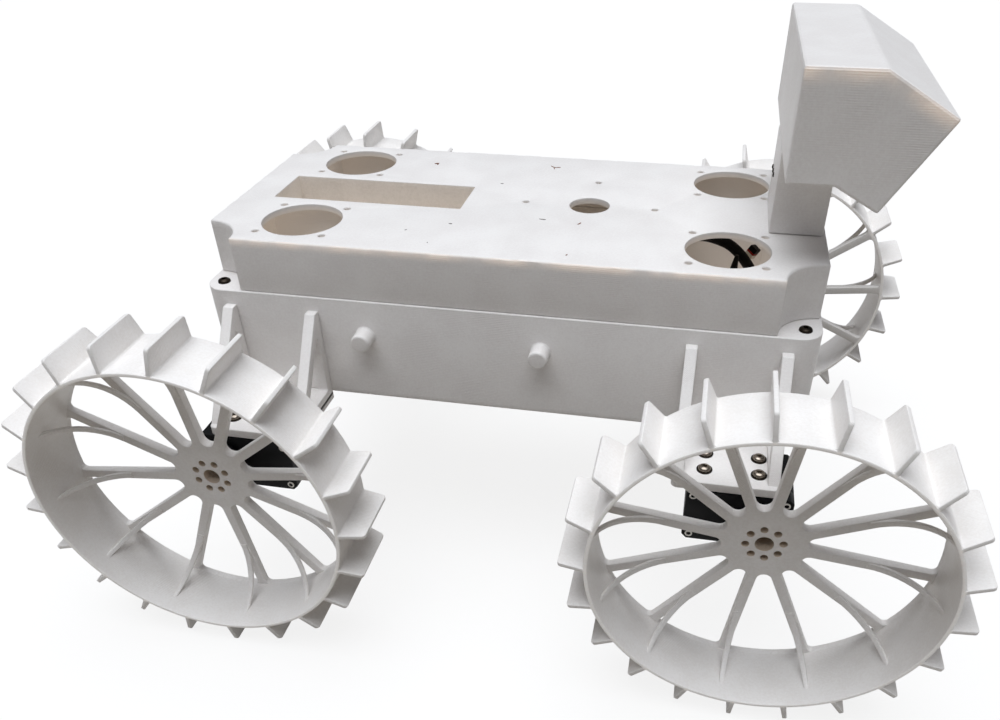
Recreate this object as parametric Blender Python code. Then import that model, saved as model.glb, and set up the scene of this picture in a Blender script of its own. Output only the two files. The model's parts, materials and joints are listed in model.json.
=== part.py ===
# A four-wheeled planetary rover prototype, printed in white plastic.
#
# Frame: metres, +X forward (the camera head's end), +Y left, +Z up. The origin
# is on the ground under the middle of the rover. Four spoked wheels with
# grousers turn on smart servos, which hang under brackets on the body's sides.
# Nothing steers: the rover turns by driving its left and right wheels apart.

import math

import bmesh
import bpy
from mathutils import Matrix, Vector

# Clearance between two pieces that touch
GAP = 0.0003

# Wheels
HALF_WHEELBASE = 0.1286
RIM_RADIUS = 0.0745
RIM_WALL = 0.0018
RIM_WIDTH = 0.0330
RIM_INBOARD_Y = 0.1172
GROUSER_COUNT = 21
GROUSER_HEIGHT = 0.0114
GROUSER_THICKNESS = 0.0020
GROUSER_END_SLOPE = 0.0022
GROUSER_CORNER = 0.0014
GROUSER_ROOT = 0.0008
RIM_SIDES_PER_GROUSER = 2
SPOKE_COUNT = 12
SPOKE_WIDTH = 0.0044
SPOKE_THICKNESS = 0.0049
SPOKE_END_THICKNESS = 0.0036
RIB_WIDTH = 0.0022
RIB_THICKNESS = 0.0015
RIB_START = 0.0440
RIB_REACH = 0.0260
RIB_ANGLES = (15, 32, 50, 70, 90)
HUB_RADIUS = 0.0183
HUB_FILLET_STEPS = 2
HUB_BORE_RADIUS = 0.0040
HUB_BORE_SIDES = 12
HUB_SCREW_CIRCLE = 0.0080
HUB_SCREW_COUNT = 8
HUB_SCREW_RADIUS = 0.0017
HUB_SCREW_SIDES = 6
HUB_BOSS_RADIUS = 0.0120
HUB_BOSS_SIDES = 16

# Servos
SERVO_LENGTH = 0.0465
SERVO_HEIGHT = 0.0285
SERVO_DEPTH = 0.0340
SERVO_SHAFT_INSET = 0.01125
SERVO_FACE_Y = 0.1085
SERVO_CHAMFER = 0.0022
HORN_RADIUS = 0.0105
HORN_THICKNESS = 0.0032

# Tub, the lower half of the body
BODY_HALF_LENGTH = 0.1430
BODY_HALF_WIDTH = 0.0665
BODY_WALL = 0.0030
TUB_LEDGE = 0.0010
TUB_FLOOR_ABOVE_AXLE = 0.0180
TUB_HEIGHT = 0.0520
TUB_CORNER_RADIUS = 0.0100
TUB_BOTTOM_CHAMFER = 0.0015
NOTCH_RADIUS = 0.0185
NOTCH_STEPS = 6

# Cover, the upper half of the body
COVER_HEIGHT = 0.0260
COVER_EDGE_ROUND = 0.0012
PORT_RADIUS = 0.0189
PORT_X = 0.0996
PORT_Y = 0.0401
PORT_SCREW_OFFSET = 0.0163
SMALL_HOLE_RADIUS = 0.0017
MAST_HOLE_RADIUS = 0.0098
MAST_HOLE_X = 0.0323
MAST_SCREW_OFFSET = 0.0317
SLOT_REAR_X = -0.1253
SLOT_FRONT_X = -0.0290
SLOT_HALF_WIDTH = 0.0150
BAY_DEPTH = 0.0400
BAY_WALL = 0.0024

# Side pegs
PEG_RADIUS = 0.0045
PEG_LENGTH = 0.0085
PEG_ABOVE_AXLE = 0.0520
PEG_PLACES_X = (-0.0642, 0.0205)

# Brackets
BRACKET_INNER_X = 0.0861
BRACKET_LENGTH = 0.0465
BRACKET_RIB = 0.0052
BRACKET_RIB_HEIGHT = 0.0445
BRACKET_RIB_TOP = 0.0040
BRACKET_PLATE = 0.0043
BRACKET_WINDOW_MARGIN = 0.0050
BRACKET_CORNER = 0.0030

# Neck and camera head
NECK_REAR_X = 0.1172
NECK_LENGTH = 0.0239
NECK_HALF_WIDTH = 0.0197
HEAD_HALF_WIDTH = 0.0596
HEAD_EDGE_ROUND = 0.0012
HEAD_ABOVE_DECK = 0.0368
# Side view of the head, from its lower rear corner: (x forward of the rear face, z above the underside)
HEAD_PROFILE = (
    (0.0000, 0.0000),
    (0.0192, 0.0000),
    (0.0372, -0.0098),
    (0.0587, 0.0274),
    (0.0298, 0.0438),
    (0.0000, 0.0438),
)
LENS_HALF_BASELINE = 0.0315
LENS_RADIUS = 0.0080
LENS_DEPTH = 0.0040

# Leads inside the body, seen through the front right port: a black one that arches over from side to side,
# a sleeved one that ends in a point, and a thin red one with a plug
LEAD_RADIUS = 0.0026
PLUG_LEAD_RADIUS = 0.0012
PLUG_SIZE = (0.0046, 0.0054, 0.0057)
SLEEVE_RADIUS = 0.0023
SLEEVE_TIP_RADIUS = 0.0009
SLEEVE_TAPER = 0.0110
LEAD_SIDES = 10
LEAD_STEPS = 3
# Each row: x, y, height above the tub's inner floor
LEAD_ROUTE = (
    (0.0650, 0.0440, 0.0000),
    (0.0652, 0.0438, 0.0140),
    (0.0690, 0.0410, 0.0320),
    (0.0780, 0.0330, 0.0470),
    (0.0880, 0.0205, 0.0550),
    (0.0977, 0.0085, 0.0582),
    (0.1040, 0.0045, 0.0565),
    (0.1100, 0.0030, 0.0510),
    (0.1140, 0.0055, 0.0430),
    (0.1155, 0.0070, 0.0280),
    (0.1157, 0.0072, 0.0120),
    (0.1157, 0.0072, 0.0000),
)
PLUG_ROUTE = (
    (0.1120, 0.0230, 0.0000),
    (0.1116, 0.0222, 0.0160),
    (0.1120, 0.0206, 0.0320),
    (0.1124, 0.0200, 0.0460),
)
SLEEVE_ROUTE = (
    (0.1020, -0.0100, 0.0000),
    (0.1027, -0.0096, 0.0240),
    (0.1042, -0.0090, 0.0480),
    (0.1052, -0.0088, 0.0590),
)

# Each row: corner's name, end of the rover, side of the rover, degrees that its wheel has turned forwards
CORNERS = (
    ("front_right", 1, -1, 217.1),
    ("front_left", 1, 1, 54.1),
    ("rear_right", -1, -1, 22.5),
    ("rear_left", -1, 1, 0.0),
)
GROUSER_TIP_RADIUS = RIM_RADIUS + GROUSER_HEIGHT


def lowest_grouser(turned):
    """How far below its axle a wheel that has turned by some degrees reaches."""
    reach = 0.0
    for k in range(GROUSER_COUNT):
        from_down = 2 * math.pi * k / GROUSER_COUNT + math.radians(turned) - math.pi
        tip = GROUSER_TIP_RADIUS * math.cos(from_down) + GROUSER_THICKNESS / 2 * abs(math.sin(from_down))
        reach = max(reach, tip)
    return reach


# Places that follow from the sizes
AXLE_Z = max(lowest_grouser(turned) for corner, end, side, turned in CORNERS)
TUB_BOTTOM_Z = AXLE_Z + TUB_FLOOR_ABOVE_AXLE
TUB_FLOOR_Z = TUB_BOTTOM_Z + BODY_WALL
TUB_TOP_Z = TUB_BOTTOM_Z + TUB_HEIGHT
COVER_BOTTOM_Z = TUB_TOP_Z + GAP
DECK_Z = COVER_BOTTOM_Z + COVER_HEIGHT
TUB_SIDE_Y = BODY_HALF_WIDTH + TUB_LEDGE
HEAD_BOTTOM_Z = DECK_Z + HEAD_ABOVE_DECK
CIRCLE_SIDES = 28

WHITE_PRINT = ("white_print", (0.76, 0.75, 0.73), 0.55, 0.0)
BLACK_SERVO = ("black_servo", (0.012, 0.012, 0.013), 0.40, 0.0)
HORN_METAL = ("horn_metal", (0.30, 0.30, 0.31), 0.35, 1.0)
LENS_GLASS = ("lens_glass", (0.01, 0.01, 0.012), 0.08, 0.0)
BLACK_SHEATH = ("black_sheath", (0.012, 0.012, 0.012), 0.45, 0.0)
RED_SHEATH = ("red_sheath", (0.35, 0.015, 0.012), 0.40, 0.0)


def clear_scene():
    for item in list(bpy.data.objects):
        bpy.data.objects.remove(item, do_unlink=True)


def material(spec):
    name, colour, roughness, metallic = spec
    found = bpy.data.materials.get(name)
    if found:
        return found
    made = bpy.data.materials.new(name)
    made.use_nodes = True
    shader = made.node_tree.nodes["Principled BSDF"]
    shader.inputs["Base Color"].default_value = (*colour, 1.0)
    shader.inputs["Roughness"].default_value = roughness
    shader.inputs["Metallic"].default_value = metallic
    return made


def add_object(name, mesh, spec=None):
    made = bpy.data.objects.new(name, mesh)
    bpy.context.scene.collection.objects.link(made)
    if spec:
        mesh.materials.clear()
        mesh.materials.append(material(spec))
    return made


def mesh_from_rings(name, rings):
    """A closed solid through rings of equal point counts, capped at both ends."""
    bm = bmesh.new()
    rows = [[bm.verts.new(point) for point in ring] for ring in rings]
    count = len(rows[0])
    for lower, upper in zip(rows, rows[1:]):
        for k in range(count):
            nxt = (k + 1) % count
            bm.faces.new((lower[k], lower[nxt], upper[nxt], upper[k]))
    bm.faces.new(list(reversed(rows[0])))
    bm.faces.new(rows[-1])
    bmesh.ops.recalc_face_normals(bm, faces=bm.faces)
    mesh = bpy.data.meshes.new(name)
    bm.to_mesh(mesh)
    bm.free()
    return mesh


def prism(name, outline, low, high, axis="z"):
    """An outline of (a, b) pairs extruded from low to high along an axis."""
    place = {
        "z": lambda a, b, c: (a, b, c),
        "y": lambda a, b, c: (a, c, b),
        "x": lambda a, b, c: (c, a, b),
    }[axis]
    return mesh_from_rings(name, [[place(a, b, c) for a, b in outline] for c in (low, high)])


def arc(centre, radius, start, end, steps):
    """Points on an arc, angles in degrees, both ends included."""
    points = []
    for k in range(steps + 1):
        angle = math.radians(start + (end - start) * k / steps)
        points.append((centre[0] + radius * math.cos(angle), centre[1] + radius * math.sin(angle)))
    return points


def circle(centre, radius, sides):
    return arc(centre, radius, 0.0, 360.0 * (sides - 1) / sides, sides - 1)


def notched_outline(inset):
    """The cover's plan: a rectangle whose corners are cut by quarter rounds about its own corners."""
    far_x = BODY_HALF_LENGTH
    far_y = BODY_HALF_WIDTH
    reach = math.degrees(math.asin(inset / (NOTCH_RADIUS + inset)))
    points = []
    # Each row: corner sign in x, corner sign in y, first angle, last angle
    for sign_x, sign_y, start, end in ((1, 1, 270, 180), (-1, 1, 0, -90), (-1, -1, 90, 0), (1, -1, 180, 90)):
        corner = (sign_x * far_x, sign_y * far_y)
        points += arc(corner, NOTCH_RADIUS + inset, start - reach, end + reach, NOTCH_STEPS)
    return points


def rounded_rectangle(half_x, half_y, radius, steps=4):
    points = []
    for sign_x, sign_y, start in ((1, 1, 0), (-1, 1, 90), (-1, -1, 180), (1, -1, 270)):
        centre = (sign_x * (half_x - radius), sign_y * (half_y - radius))
        points += arc(centre, radius, start, start + 90, steps)
    return points


def tool(name, mesh):
    """A solid that only cuts or joins another one."""
    made = add_object(name, mesh)
    made.hide_render = True
    made.display_type = "WIRE"
    return made


def combine(base, tools, operation):
    """Apply one Boolean with each tool in turn and keep the result as the object's own mesh."""
    for item in tools:
        step = base.modifiers.new(operation.lower(), "BOOLEAN")
        step.operation = operation
        step.solver = "EXACT"
        step.object = item
    bpy.context.view_layer.update()
    shaped = base.evaluated_get(bpy.context.evaluated_depsgraph_get())
    result = bpy.data.meshes.new_from_object(shaped)
    base.modifiers.clear()
    base.data = result
    for item in tools:
        bpy.data.objects.remove(item, do_unlink=True)
    return base


def merge_flat_faces(mesh):
    """Join neighbouring faces that lie in one plane, as a Boolean leaves them split."""
    bm = bmesh.new()
    bm.from_mesh(mesh)
    bmesh.ops.dissolve_limit(bm, angle_limit=math.radians(0.1), verts=bm.verts, edges=bm.edges)
    bm.to_mesh(mesh)
    bm.free()


def smooth(item, angle=35.0):
    item.data.shade_smooth()
    item.data.set_sharp_from_angle(angle=math.radians(angle))


def round_convex_edges(mesh, width):
    """Round every outward edge of a solid, and leave its inward folds sharp."""
    bm = bmesh.new()
    bm.from_mesh(mesh)
    edges = [edge for edge in bm.edges if edge.is_convex]
    bmesh.ops.bevel(bm, geom=edges, offset=width, segments=2, profile=0.5, affect="EDGES")
    bm.to_mesh(mesh)
    bm.free()


def spoke_outline():
    """A spoke's flat bar seen along its width: (depth outboard of the wheel's inboard face, radius)."""
    root = HUB_RADIUS * 0.8
    seat = RIM_RADIUS - RIM_WALL / 2
    return [
        (0.0, root),
        (0.0, seat),
        (SPOKE_END_THICKNESS, seat),
        (SPOKE_THICKNESS, RIB_START),
        (SPOKE_THICKNESS, root),
    ]


def rib_outline():
    """The rib that leaves a spoke's outboard face and sweeps along a quarter ellipse to lie on the rim."""
    along = RIM_RADIUS - RIM_WALL / 2 - RIB_START
    across = RIB_REACH
    outer = []
    inner = []
    for angle in RIB_ANGLES:
        turn = math.radians(angle)
        depth = SPOKE_THICKNESS + across * (1 - math.cos(turn))
        radius = RIB_START + along * math.sin(turn)
        length = math.hypot(along * math.cos(turn), across * math.sin(turn))
        outer.append((depth, radius))
        inner.append((
            depth - RIB_THICKNESS * along * math.cos(turn) / length,
            min(radius + RIB_THICKNESS * across * math.sin(turn) / length, RIM_RADIUS - RIM_WALL / 2),
        ))
    return [(SPOKE_THICKNESS / 2, RIB_START)] + inner[:-1] + list(reversed(outer))


def hub_outline():
    """The hub disc with a round fillet between each two spokes."""
    half_step = math.pi / SPOKE_COUNT
    centre_radius = (HUB_RADIUS - SPOKE_WIDTH / 2) / (1 - math.sin(half_step))
    fillet = centre_radius - HUB_RADIUS
    points = []
    for k in range(SPOKE_COUNT):
        middle = math.pi / 2 + (2 * k + 1) * half_step
        centre = (centre_radius * math.cos(middle), centre_radius * math.sin(middle))
        first = math.degrees(middle) + 180 + 90 - math.degrees(half_step)
        last = math.degrees(middle) + 180 - 90 + math.degrees(half_step)
        points += arc(centre, fillet, first, last, HUB_FILLET_STEPS)
    return points


def grouser_outline():
    """A grouser seen along the rim: (depth outboard, radius), its ends leaning in to rounded corners."""
    lean = GROUSER_END_SLOPE / GROUSER_HEIGHT
    corner = GROUSER_CORNER
    tip = GROUSER_TIP_RADIUS
    near_side = [
        (0.0, RIM_RADIUS - GROUSER_ROOT),
        (0.0, RIM_RADIUS),
        (lean * (GROUSER_HEIGHT - corner), tip - corner),
        (GROUSER_END_SLOPE + corner, tip),
    ]
    return near_side + [(RIM_WIDTH - depth, radius) for depth, radius in reversed(near_side)]


def spaced_copies(name, outline, thickness, count):
    """Plates of one (depth, radius) outline, spaced evenly about the wheel's axis."""
    plates = []
    for k in range(count):
        mesh = prism(name, [(-depth, radius) for depth, radius in outline], -thickness / 2, thickness / 2, "x")
        mesh.transform(Matrix.Rotation(2 * math.pi * k / count, 4, "Y"))
        plates.append(tool(name, mesh))
    return plates


def wheel_mesh():
    """One printed wheel about the Y axis, its inboard face at y = 0 and its outboard side towards -Y."""
    sides = GROUSER_COUNT * RIM_SIDES_PER_GROUSER
    rim = add_object("wheel_work", prism("wheel", circle((0, 0), RIM_RADIUS, sides), 0.0, -RIM_WIDTH, "y"))
    rim_hole = prism("rim_hole", circle((0, 0), RIM_RADIUS - RIM_WALL, sides), RIM_WIDTH, -2 * RIM_WIDTH, "y")
    combine(rim, [tool("rim_hole", rim_hole)], "DIFFERENCE")

    boss_end = RIM_INBOARD_Y - SERVO_FACE_Y - HORN_THICKNESS - 2 * GAP
    boss = circle((0, 0), HUB_BOSS_RADIUS, HUB_BOSS_SIDES)
    joined = spaced_copies("grouser", grouser_outline(), GROUSER_THICKNESS, GROUSER_COUNT)
    joined += spaced_copies("spoke", spoke_outline(), SPOKE_WIDTH, SPOKE_COUNT)
    joined += spaced_copies("rib", rib_outline(), RIB_WIDTH, SPOKE_COUNT)
    joined.append(tool("hub", prism("hub", hub_outline(), 0.0, -SPOKE_THICKNESS, "y")))
    joined.append(tool("boss", prism("boss", boss, boss_end, -SPOKE_THICKNESS / 2, "y")))
    combine(rim, joined, "UNION")

    through = RIM_WIDTH
    cuts = [tool("bore", prism("bore", circle((0, 0), HUB_BORE_RADIUS, HUB_BORE_SIDES), through, -through, "y"))]
    for k in range(HUB_SCREW_COUNT):
        angle = 2 * math.pi * k / HUB_SCREW_COUNT
        centre = (HUB_SCREW_CIRCLE * math.sin(angle), HUB_SCREW_CIRCLE * math.cos(angle))
        hole = prism("screw_hole", circle(centre, HUB_SCREW_RADIUS, HUB_SCREW_SIDES), through, -through, "y")
        cuts.append(tool("screw_hole", hole))
    combine(rim, cuts, "DIFFERENCE")
    merge_flat_faces(rim.data)
    smooth(rim)
    mesh = rim.data
    bpy.data.objects.remove(rim, do_unlink=True)
    mesh.name = "wheel"
    return mesh


def make_wheel(name, mesh, centre_x, side, turned):
    """side is -1 on the right and +1 on the left, where the wheel faces the other way."""
    item = add_object(name, mesh, WHITE_PRINT)
    item.location = (centre_x, side * RIM_INBOARD_Y, AXLE_Z)
    item.rotation_euler = (0.0, -side * math.radians(turned), math.pi if side > 0 else 0.0)
    return item


def horn_mesh():
    return prism("horn", circle((0, 0), HORN_RADIUS, CIRCLE_SIDES), 0.0, -HORN_THICKNESS, "y")


def servo_mesh():
    """A servo about its own shaft: the case reaches inwards along -X from the shaft, face at y = 0."""
    front = SERVO_SHAFT_INSET
    rear = SERVO_SHAFT_INSET - SERVO_LENGTH
    half = SERVO_HEIGHT / 2
    cut = SERVO_CHAMFER
    outline = [
        (rear, -half + cut),
        (rear + cut, -half),
        (front - cut, -half),
        (front, -half + cut),
        (front, half - cut),
        (front - cut, half),
        (rear + cut, half),
        (rear, half - cut),
    ]
    return prism("servo", outline, 0.0, SERVO_DEPTH, "y")


def make_tub():
    outer = []
    for inset, level in ((TUB_BOTTOM_CHAMFER, 0.0), (0.0, TUB_BOTTOM_CHAMFER), (0.0, TUB_HEIGHT)):
        plan = rounded_rectangle(
            BODY_HALF_LENGTH + TUB_LEDGE - inset, TUB_SIDE_Y - inset, TUB_CORNER_RADIUS - inset)
        outer.append([(x, y, TUB_BOTTOM_Z + level) for x, y in plan])
    tub = add_object("tub", mesh_from_rings("tub", outer))
    hollow = prism("hollow", notched_outline(BODY_WALL), TUB_FLOOR_Z, TUB_TOP_Z + 0.01)
    combine(tub, [tool("hollow", hollow)], "DIFFERENCE")
    pegs = []
    for centre_x in PEG_PLACES_X:
        for side in (-1, 1):
            root = side * (TUB_SIDE_Y - BODY_WALL / 2)
            tip = side * (TUB_SIDE_Y + PEG_LENGTH)
            round_off = PEG_RADIUS * 0.25
            rings = []
            for radius, y in ((PEG_RADIUS, root), (PEG_RADIUS, tip - side * round_off), (PEG_RADIUS - round_off, tip)):
                ring = circle((centre_x, AXLE_Z + PEG_ABOVE_AXLE), radius, 16)
                rings.append([(x, y, z) for x, z in ring])
            pegs.append(tool("peg", mesh_from_rings("peg", rings)))
    combine(tub, pegs, "UNION")
    merge_flat_faces(tub.data)
    smooth(tub)
    tub.data.materials.clear()
    tub.data.materials.append(material(WHITE_PRINT))
    return tub


def hole_tool(x, y, radius, sides):
    return tool("hole", prism("hole", circle((x, y), radius, sides), DECK_Z - 0.01, DECK_Z + 0.01))


def slot_outline(margin):
    """The deck's long slot, or the bay around it with a wall of that margin."""
    rear = SLOT_REAR_X - margin
    front = SLOT_FRONT_X + margin
    half = SLOT_HALF_WIDTH + margin
    return [(rear, -half), (front, -half), (front, half), (rear, half)]


def make_cover():
    rings = [[(x, y, COVER_BOTTOM_Z) for x, y in notched_outline(0.0)]]
    steps = 3
    for k in range(steps + 1):
        angle = math.pi / 2 * k / steps
        inset = COVER_EDGE_ROUND * (1 - math.cos(angle))
        level = DECK_Z - COVER_EDGE_ROUND * (1 - math.sin(angle))
        rings.append([(x, y, level) for x, y in notched_outline(inset)])
    cover = add_object("cover", mesh_from_rings("cover", rings))
    hollow = prism("hollow", notched_outline(BODY_WALL), COVER_BOTTOM_Z - 0.01, DECK_Z - BODY_WALL)
    combine(cover, [tool("hollow", hollow)], "DIFFERENCE")
    bay_floor_z = DECK_Z - BAY_DEPTH
    bay = prism("bay", slot_outline(BAY_WALL), bay_floor_z - BAY_WALL, DECK_Z - BODY_WALL / 2)
    combine(cover, [tool("bay", bay)], "UNION")
    cuts = []
    for sign_x in (-1, 1):
        for sign_y in (-1, 1):
            centre = (sign_x * PORT_X, sign_y * PORT_Y)
            cuts.append(hole_tool(*centre, PORT_RADIUS, 32))
            for step_x in (-1, 1):
                for step_y in (-1, 1):
                    cuts.append(hole_tool(
                        centre[0] + step_x * PORT_SCREW_OFFSET,
                        centre[1] + step_y * PORT_SCREW_OFFSET,
                        SMALL_HOLE_RADIUS, 8))
    cuts.append(hole_tool(MAST_HOLE_X, 0.0, MAST_HOLE_RADIUS, 24))
    for step_x, step_y in ((-1, 0), (1, 0), (0, 1)):
        cuts.append(hole_tool(
            MAST_HOLE_X + step_x * MAST_SCREW_OFFSET, step_y * MAST_SCREW_OFFSET, SMALL_HOLE_RADIUS, 8))
    cuts.append(tool("slot", prism("slot", slot_outline(0.0), bay_floor_z, DECK_Z + 0.01)))
    combine(cover, cuts, "DIFFERENCE")
    merge_flat_faces(cover.data)
    smooth(cover)
    cover.data.materials.clear()
    cover.data.materials.append(material(WHITE_PRINT))
    return cover


def bracket_mesh():
    """A bracket seen from its own corner: x along its length, y outwards from the tub's wall, z from the plate."""
    reach = SERVO_FACE_Y - TUB_SIDE_Y - GAP
    corner = BRACKET_CORNER
    plate_outline = [(0.0, 0.0), (BRACKET_LENGTH, 0.0)]
    plate_outline += arc((BRACKET_LENGTH - corner, reach - corner), corner, 0, 90, 3)
    plate_outline += arc((corner, reach - corner), corner, 90, 180, 3)
    plate = add_object("bracket_work", prism("bracket", plate_outline, 0.0, BRACKET_PLATE))
    foot = reach - corner
    rib_outline = [
        (0.0, BRACKET_PLATE / 2),
        (foot, BRACKET_PLATE / 2),
        (foot, BRACKET_PLATE),
        (BRACKET_RIB_TOP, BRACKET_PLATE + BRACKET_RIB_HEIGHT),
        (0.0, BRACKET_PLATE + BRACKET_RIB_HEIGHT),
    ]
    margin = BRACKET_WINDOW_MARGIN
    run = foot - BRACKET_RIB_TOP
    slant = margin * math.hypot(run, BRACKET_RIB_HEIGHT) / run
    top = BRACKET_PLATE + BRACKET_RIB_HEIGHT * (foot - margin) / run - slant
    floor = BRACKET_PLATE + margin * 0.6
    far = foot - (floor - BRACKET_PLATE + slant) * run / BRACKET_RIB_HEIGHT
    window_outline = [(margin, floor), (far, floor), (margin, top)]
    ribs = []
    for start in (0.0, BRACKET_LENGTH - BRACKET_RIB):
        rib = tool("rib", prism("rib", rib_outline, start, start + BRACKET_RIB, "x"))
        window = prism("window", window_outline, start - 0.01, start + BRACKET_RIB + 0.01, "x")
        combine(rib, [tool("window", window)], "DIFFERENCE")
        ribs.append(rib)
    combine(plate, ribs, "UNION")
    mesh = plate.data
    bpy.data.objects.remove(plate, do_unlink=True)
    mesh.name = "bracket"
    return mesh


def make_bracket(name, mesh, end, side):
    """end is +1 at the front and -1 at the rear; the mesh is mirrored to suit its corner."""
    low = AXLE_Z + SERVO_HEIGHT / 2 + GAP
    corner = Matrix.Translation((end * BRACKET_INNER_X, side * (TUB_SIDE_Y + GAP), low))
    shaped = mesh.copy()
    shaped.transform(corner @ Matrix.Diagonal((end, side, 1.0, 1.0)))
    if end * side < 0:
        shaped.flip_normals()
    return add_object(name, shaped, WHITE_PRINT)


def make_neck():
    outline = [
        (NECK_REAR_X, -NECK_HALF_WIDTH),
        (NECK_REAR_X + NECK_LENGTH, -NECK_HALF_WIDTH),
        (NECK_REAR_X + NECK_LENGTH, NECK_HALF_WIDTH),
        (NECK_REAR_X, NECK_HALF_WIDTH),
    ]
    # The neck's top follows the head's underside, which turns down past its first fold
    neck = add_object("neck", prism("neck", outline, DECK_Z + GAP, HEAD_BOTTOM_Z - GAP))
    fold_x = NECK_REAR_X + HEAD_PROFILE[1][0] - GAP
    end_x = NECK_REAR_X + HEAD_PROFILE[2][0]
    end_z = HEAD_BOTTOM_Z + HEAD_PROFILE[2][1]
    wedge_outline = [
        (fold_x, HEAD_BOTTOM_Z - GAP),
        (end_x - GAP, end_z - GAP),
        (end_x, HEAD_BOTTOM_Z + 0.01),
        (fold_x, HEAD_BOTTOM_Z + 0.01),
    ]
    wedge = prism("wedge", wedge_outline, -NECK_HALF_WIDTH - 0.01, NECK_HALF_WIDTH + 0.01, "y")
    combine(neck, [tool("wedge", wedge)], "DIFFERENCE")
    neck.data.materials.clear()
    neck.data.materials.append(material(WHITE_PRINT))
    return neck


def lens_frame():
    """Centre of the head's front-lower face in side view, and its outward direction."""
    low = Vector((NECK_REAR_X + HEAD_PROFILE[2][0], 0.0, HEAD_BOTTOM_Z + HEAD_PROFILE[2][1]))
    tip = Vector((NECK_REAR_X + HEAD_PROFILE[3][0], 0.0, HEAD_BOTTOM_Z + HEAD_PROFILE[3][1]))
    along = (tip - low).normalized()
    outward = Vector((along.z, 0.0, -along.x))
    return (low + tip) / 2, outward


def lens_solid(name, y, radius, inner, outer, sides):
    """A disc on the front-lower face from depth inner to depth outer, both measured outwards."""
    centre, outward = lens_frame()
    up = Vector((0.0, 1.0, 0.0)).cross(outward)
    rings = []
    for depth in (inner, outer):
        middle = centre + outward * depth + Vector((0.0, y, 0.0))
        ring = []
        for a, b in circle((0, 0), radius, sides):
            ring.append(tuple(middle + Vector((0.0, a, 0.0)) + up * b))
        rings.append(ring)
    return mesh_from_rings(name, rings)


def make_head():
    outline = [(NECK_REAR_X + x, HEAD_BOTTOM_Z + z) for x, z in HEAD_PROFILE]
    head = add_object("camera_head", prism("camera_head", outline, -HEAD_HALF_WIDTH, HEAD_HALF_WIDTH, "y"))
    round_convex_edges(head.data, HEAD_EDGE_ROUND)
    pockets = []
    for side in (-1, 1):
        pocket = lens_solid("pocket", side * LENS_HALF_BASELINE, LENS_RADIUS + GAP, -LENS_DEPTH, 0.01, 24)
        pockets.append(tool("pocket", pocket))
    combine(head, pockets, "DIFFERENCE")
    smooth(head)
    head.data.materials.clear()
    head.data.materials.append(material(WHITE_PRINT))
    return head


def make_lens(name, side):
    mesh = lens_solid(name, side * LENS_HALF_BASELINE, LENS_RADIUS, -LENS_DEPTH + GAP, -LENS_DEPTH / 4, 24)
    return add_object(name, mesh, LENS_GLASS)


def smooth_route(route):
    """World points on a smooth curve through a route, a clearance above the tub's floor where it starts."""
    knots = [Vector((x, y, max(height, GAP) + TUB_FLOOR_Z)) for x, y, height in route]
    ends = [2 * knots[0] - knots[1]] + knots + [2 * knots[-1] - knots[-2]]
    points = []
    for before, here, ahead, after in zip(ends, ends[1:], ends[2:], ends[3:]):
        for k in range(LEAD_STEPS):
            t = k / LEAD_STEPS
            points.append(0.5 * (
                2 * here + (ahead - before) * t
                + (2 * before - 5 * here + 4 * ahead - after) * t ** 2
                + (3 * here - before - 3 * ahead + after) * t ** 3))
    return points + [knots[-1]]


def make_lead(name, route, radius, spec, tip_radius=None):
    """A round lead along a route; with a tip radius its last stretch tapers to it."""
    points = smooth_route(route)
    end = points[-1]
    across = Vector((0.0, 1.0, 0.0))
    rings = []
    for k, point in enumerate(points):
        along = (points[min(k + 1, len(points) - 1)] - points[max(k - 1, 0)]).normalized()
        if k in (0, len(points) - 1):
            along = Vector((0.0, 0.0, 1.0 if along.z > 0 else -1.0))
        side = (across - along * across.dot(along)).normalized()
        other = along.cross(side)
        size = radius
        if tip_radius:
            left = min(1.0, (end - point).length / SLEEVE_TAPER)
            size = tip_radius + (radius - tip_radius) * left
        rings.append([tuple(point + side * a + other * b) for a, b in circle((0, 0), size, LEAD_SIDES)])
    item = add_object(name, mesh_from_rings(name, rings), spec)
    smooth(item, 50.0)


def make_plug():
    """The plug that sits on its lead's upper end."""
    x, y, height = PLUG_ROUTE[-1]
    half_x, half_y = PLUG_SIZE[0] / 2, PLUG_SIZE[1] / 2
    low = TUB_FLOOR_Z + height + GAP
    outline = [(x + a * half_x, y + b * half_y) for a, b in ((-1, -1), (1, -1), (1, 1), (-1, 1))]
    add_object("lead_plug", prism("lead_plug", outline, low, low + PLUG_SIZE[2]), BLACK_SHEATH)


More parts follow.
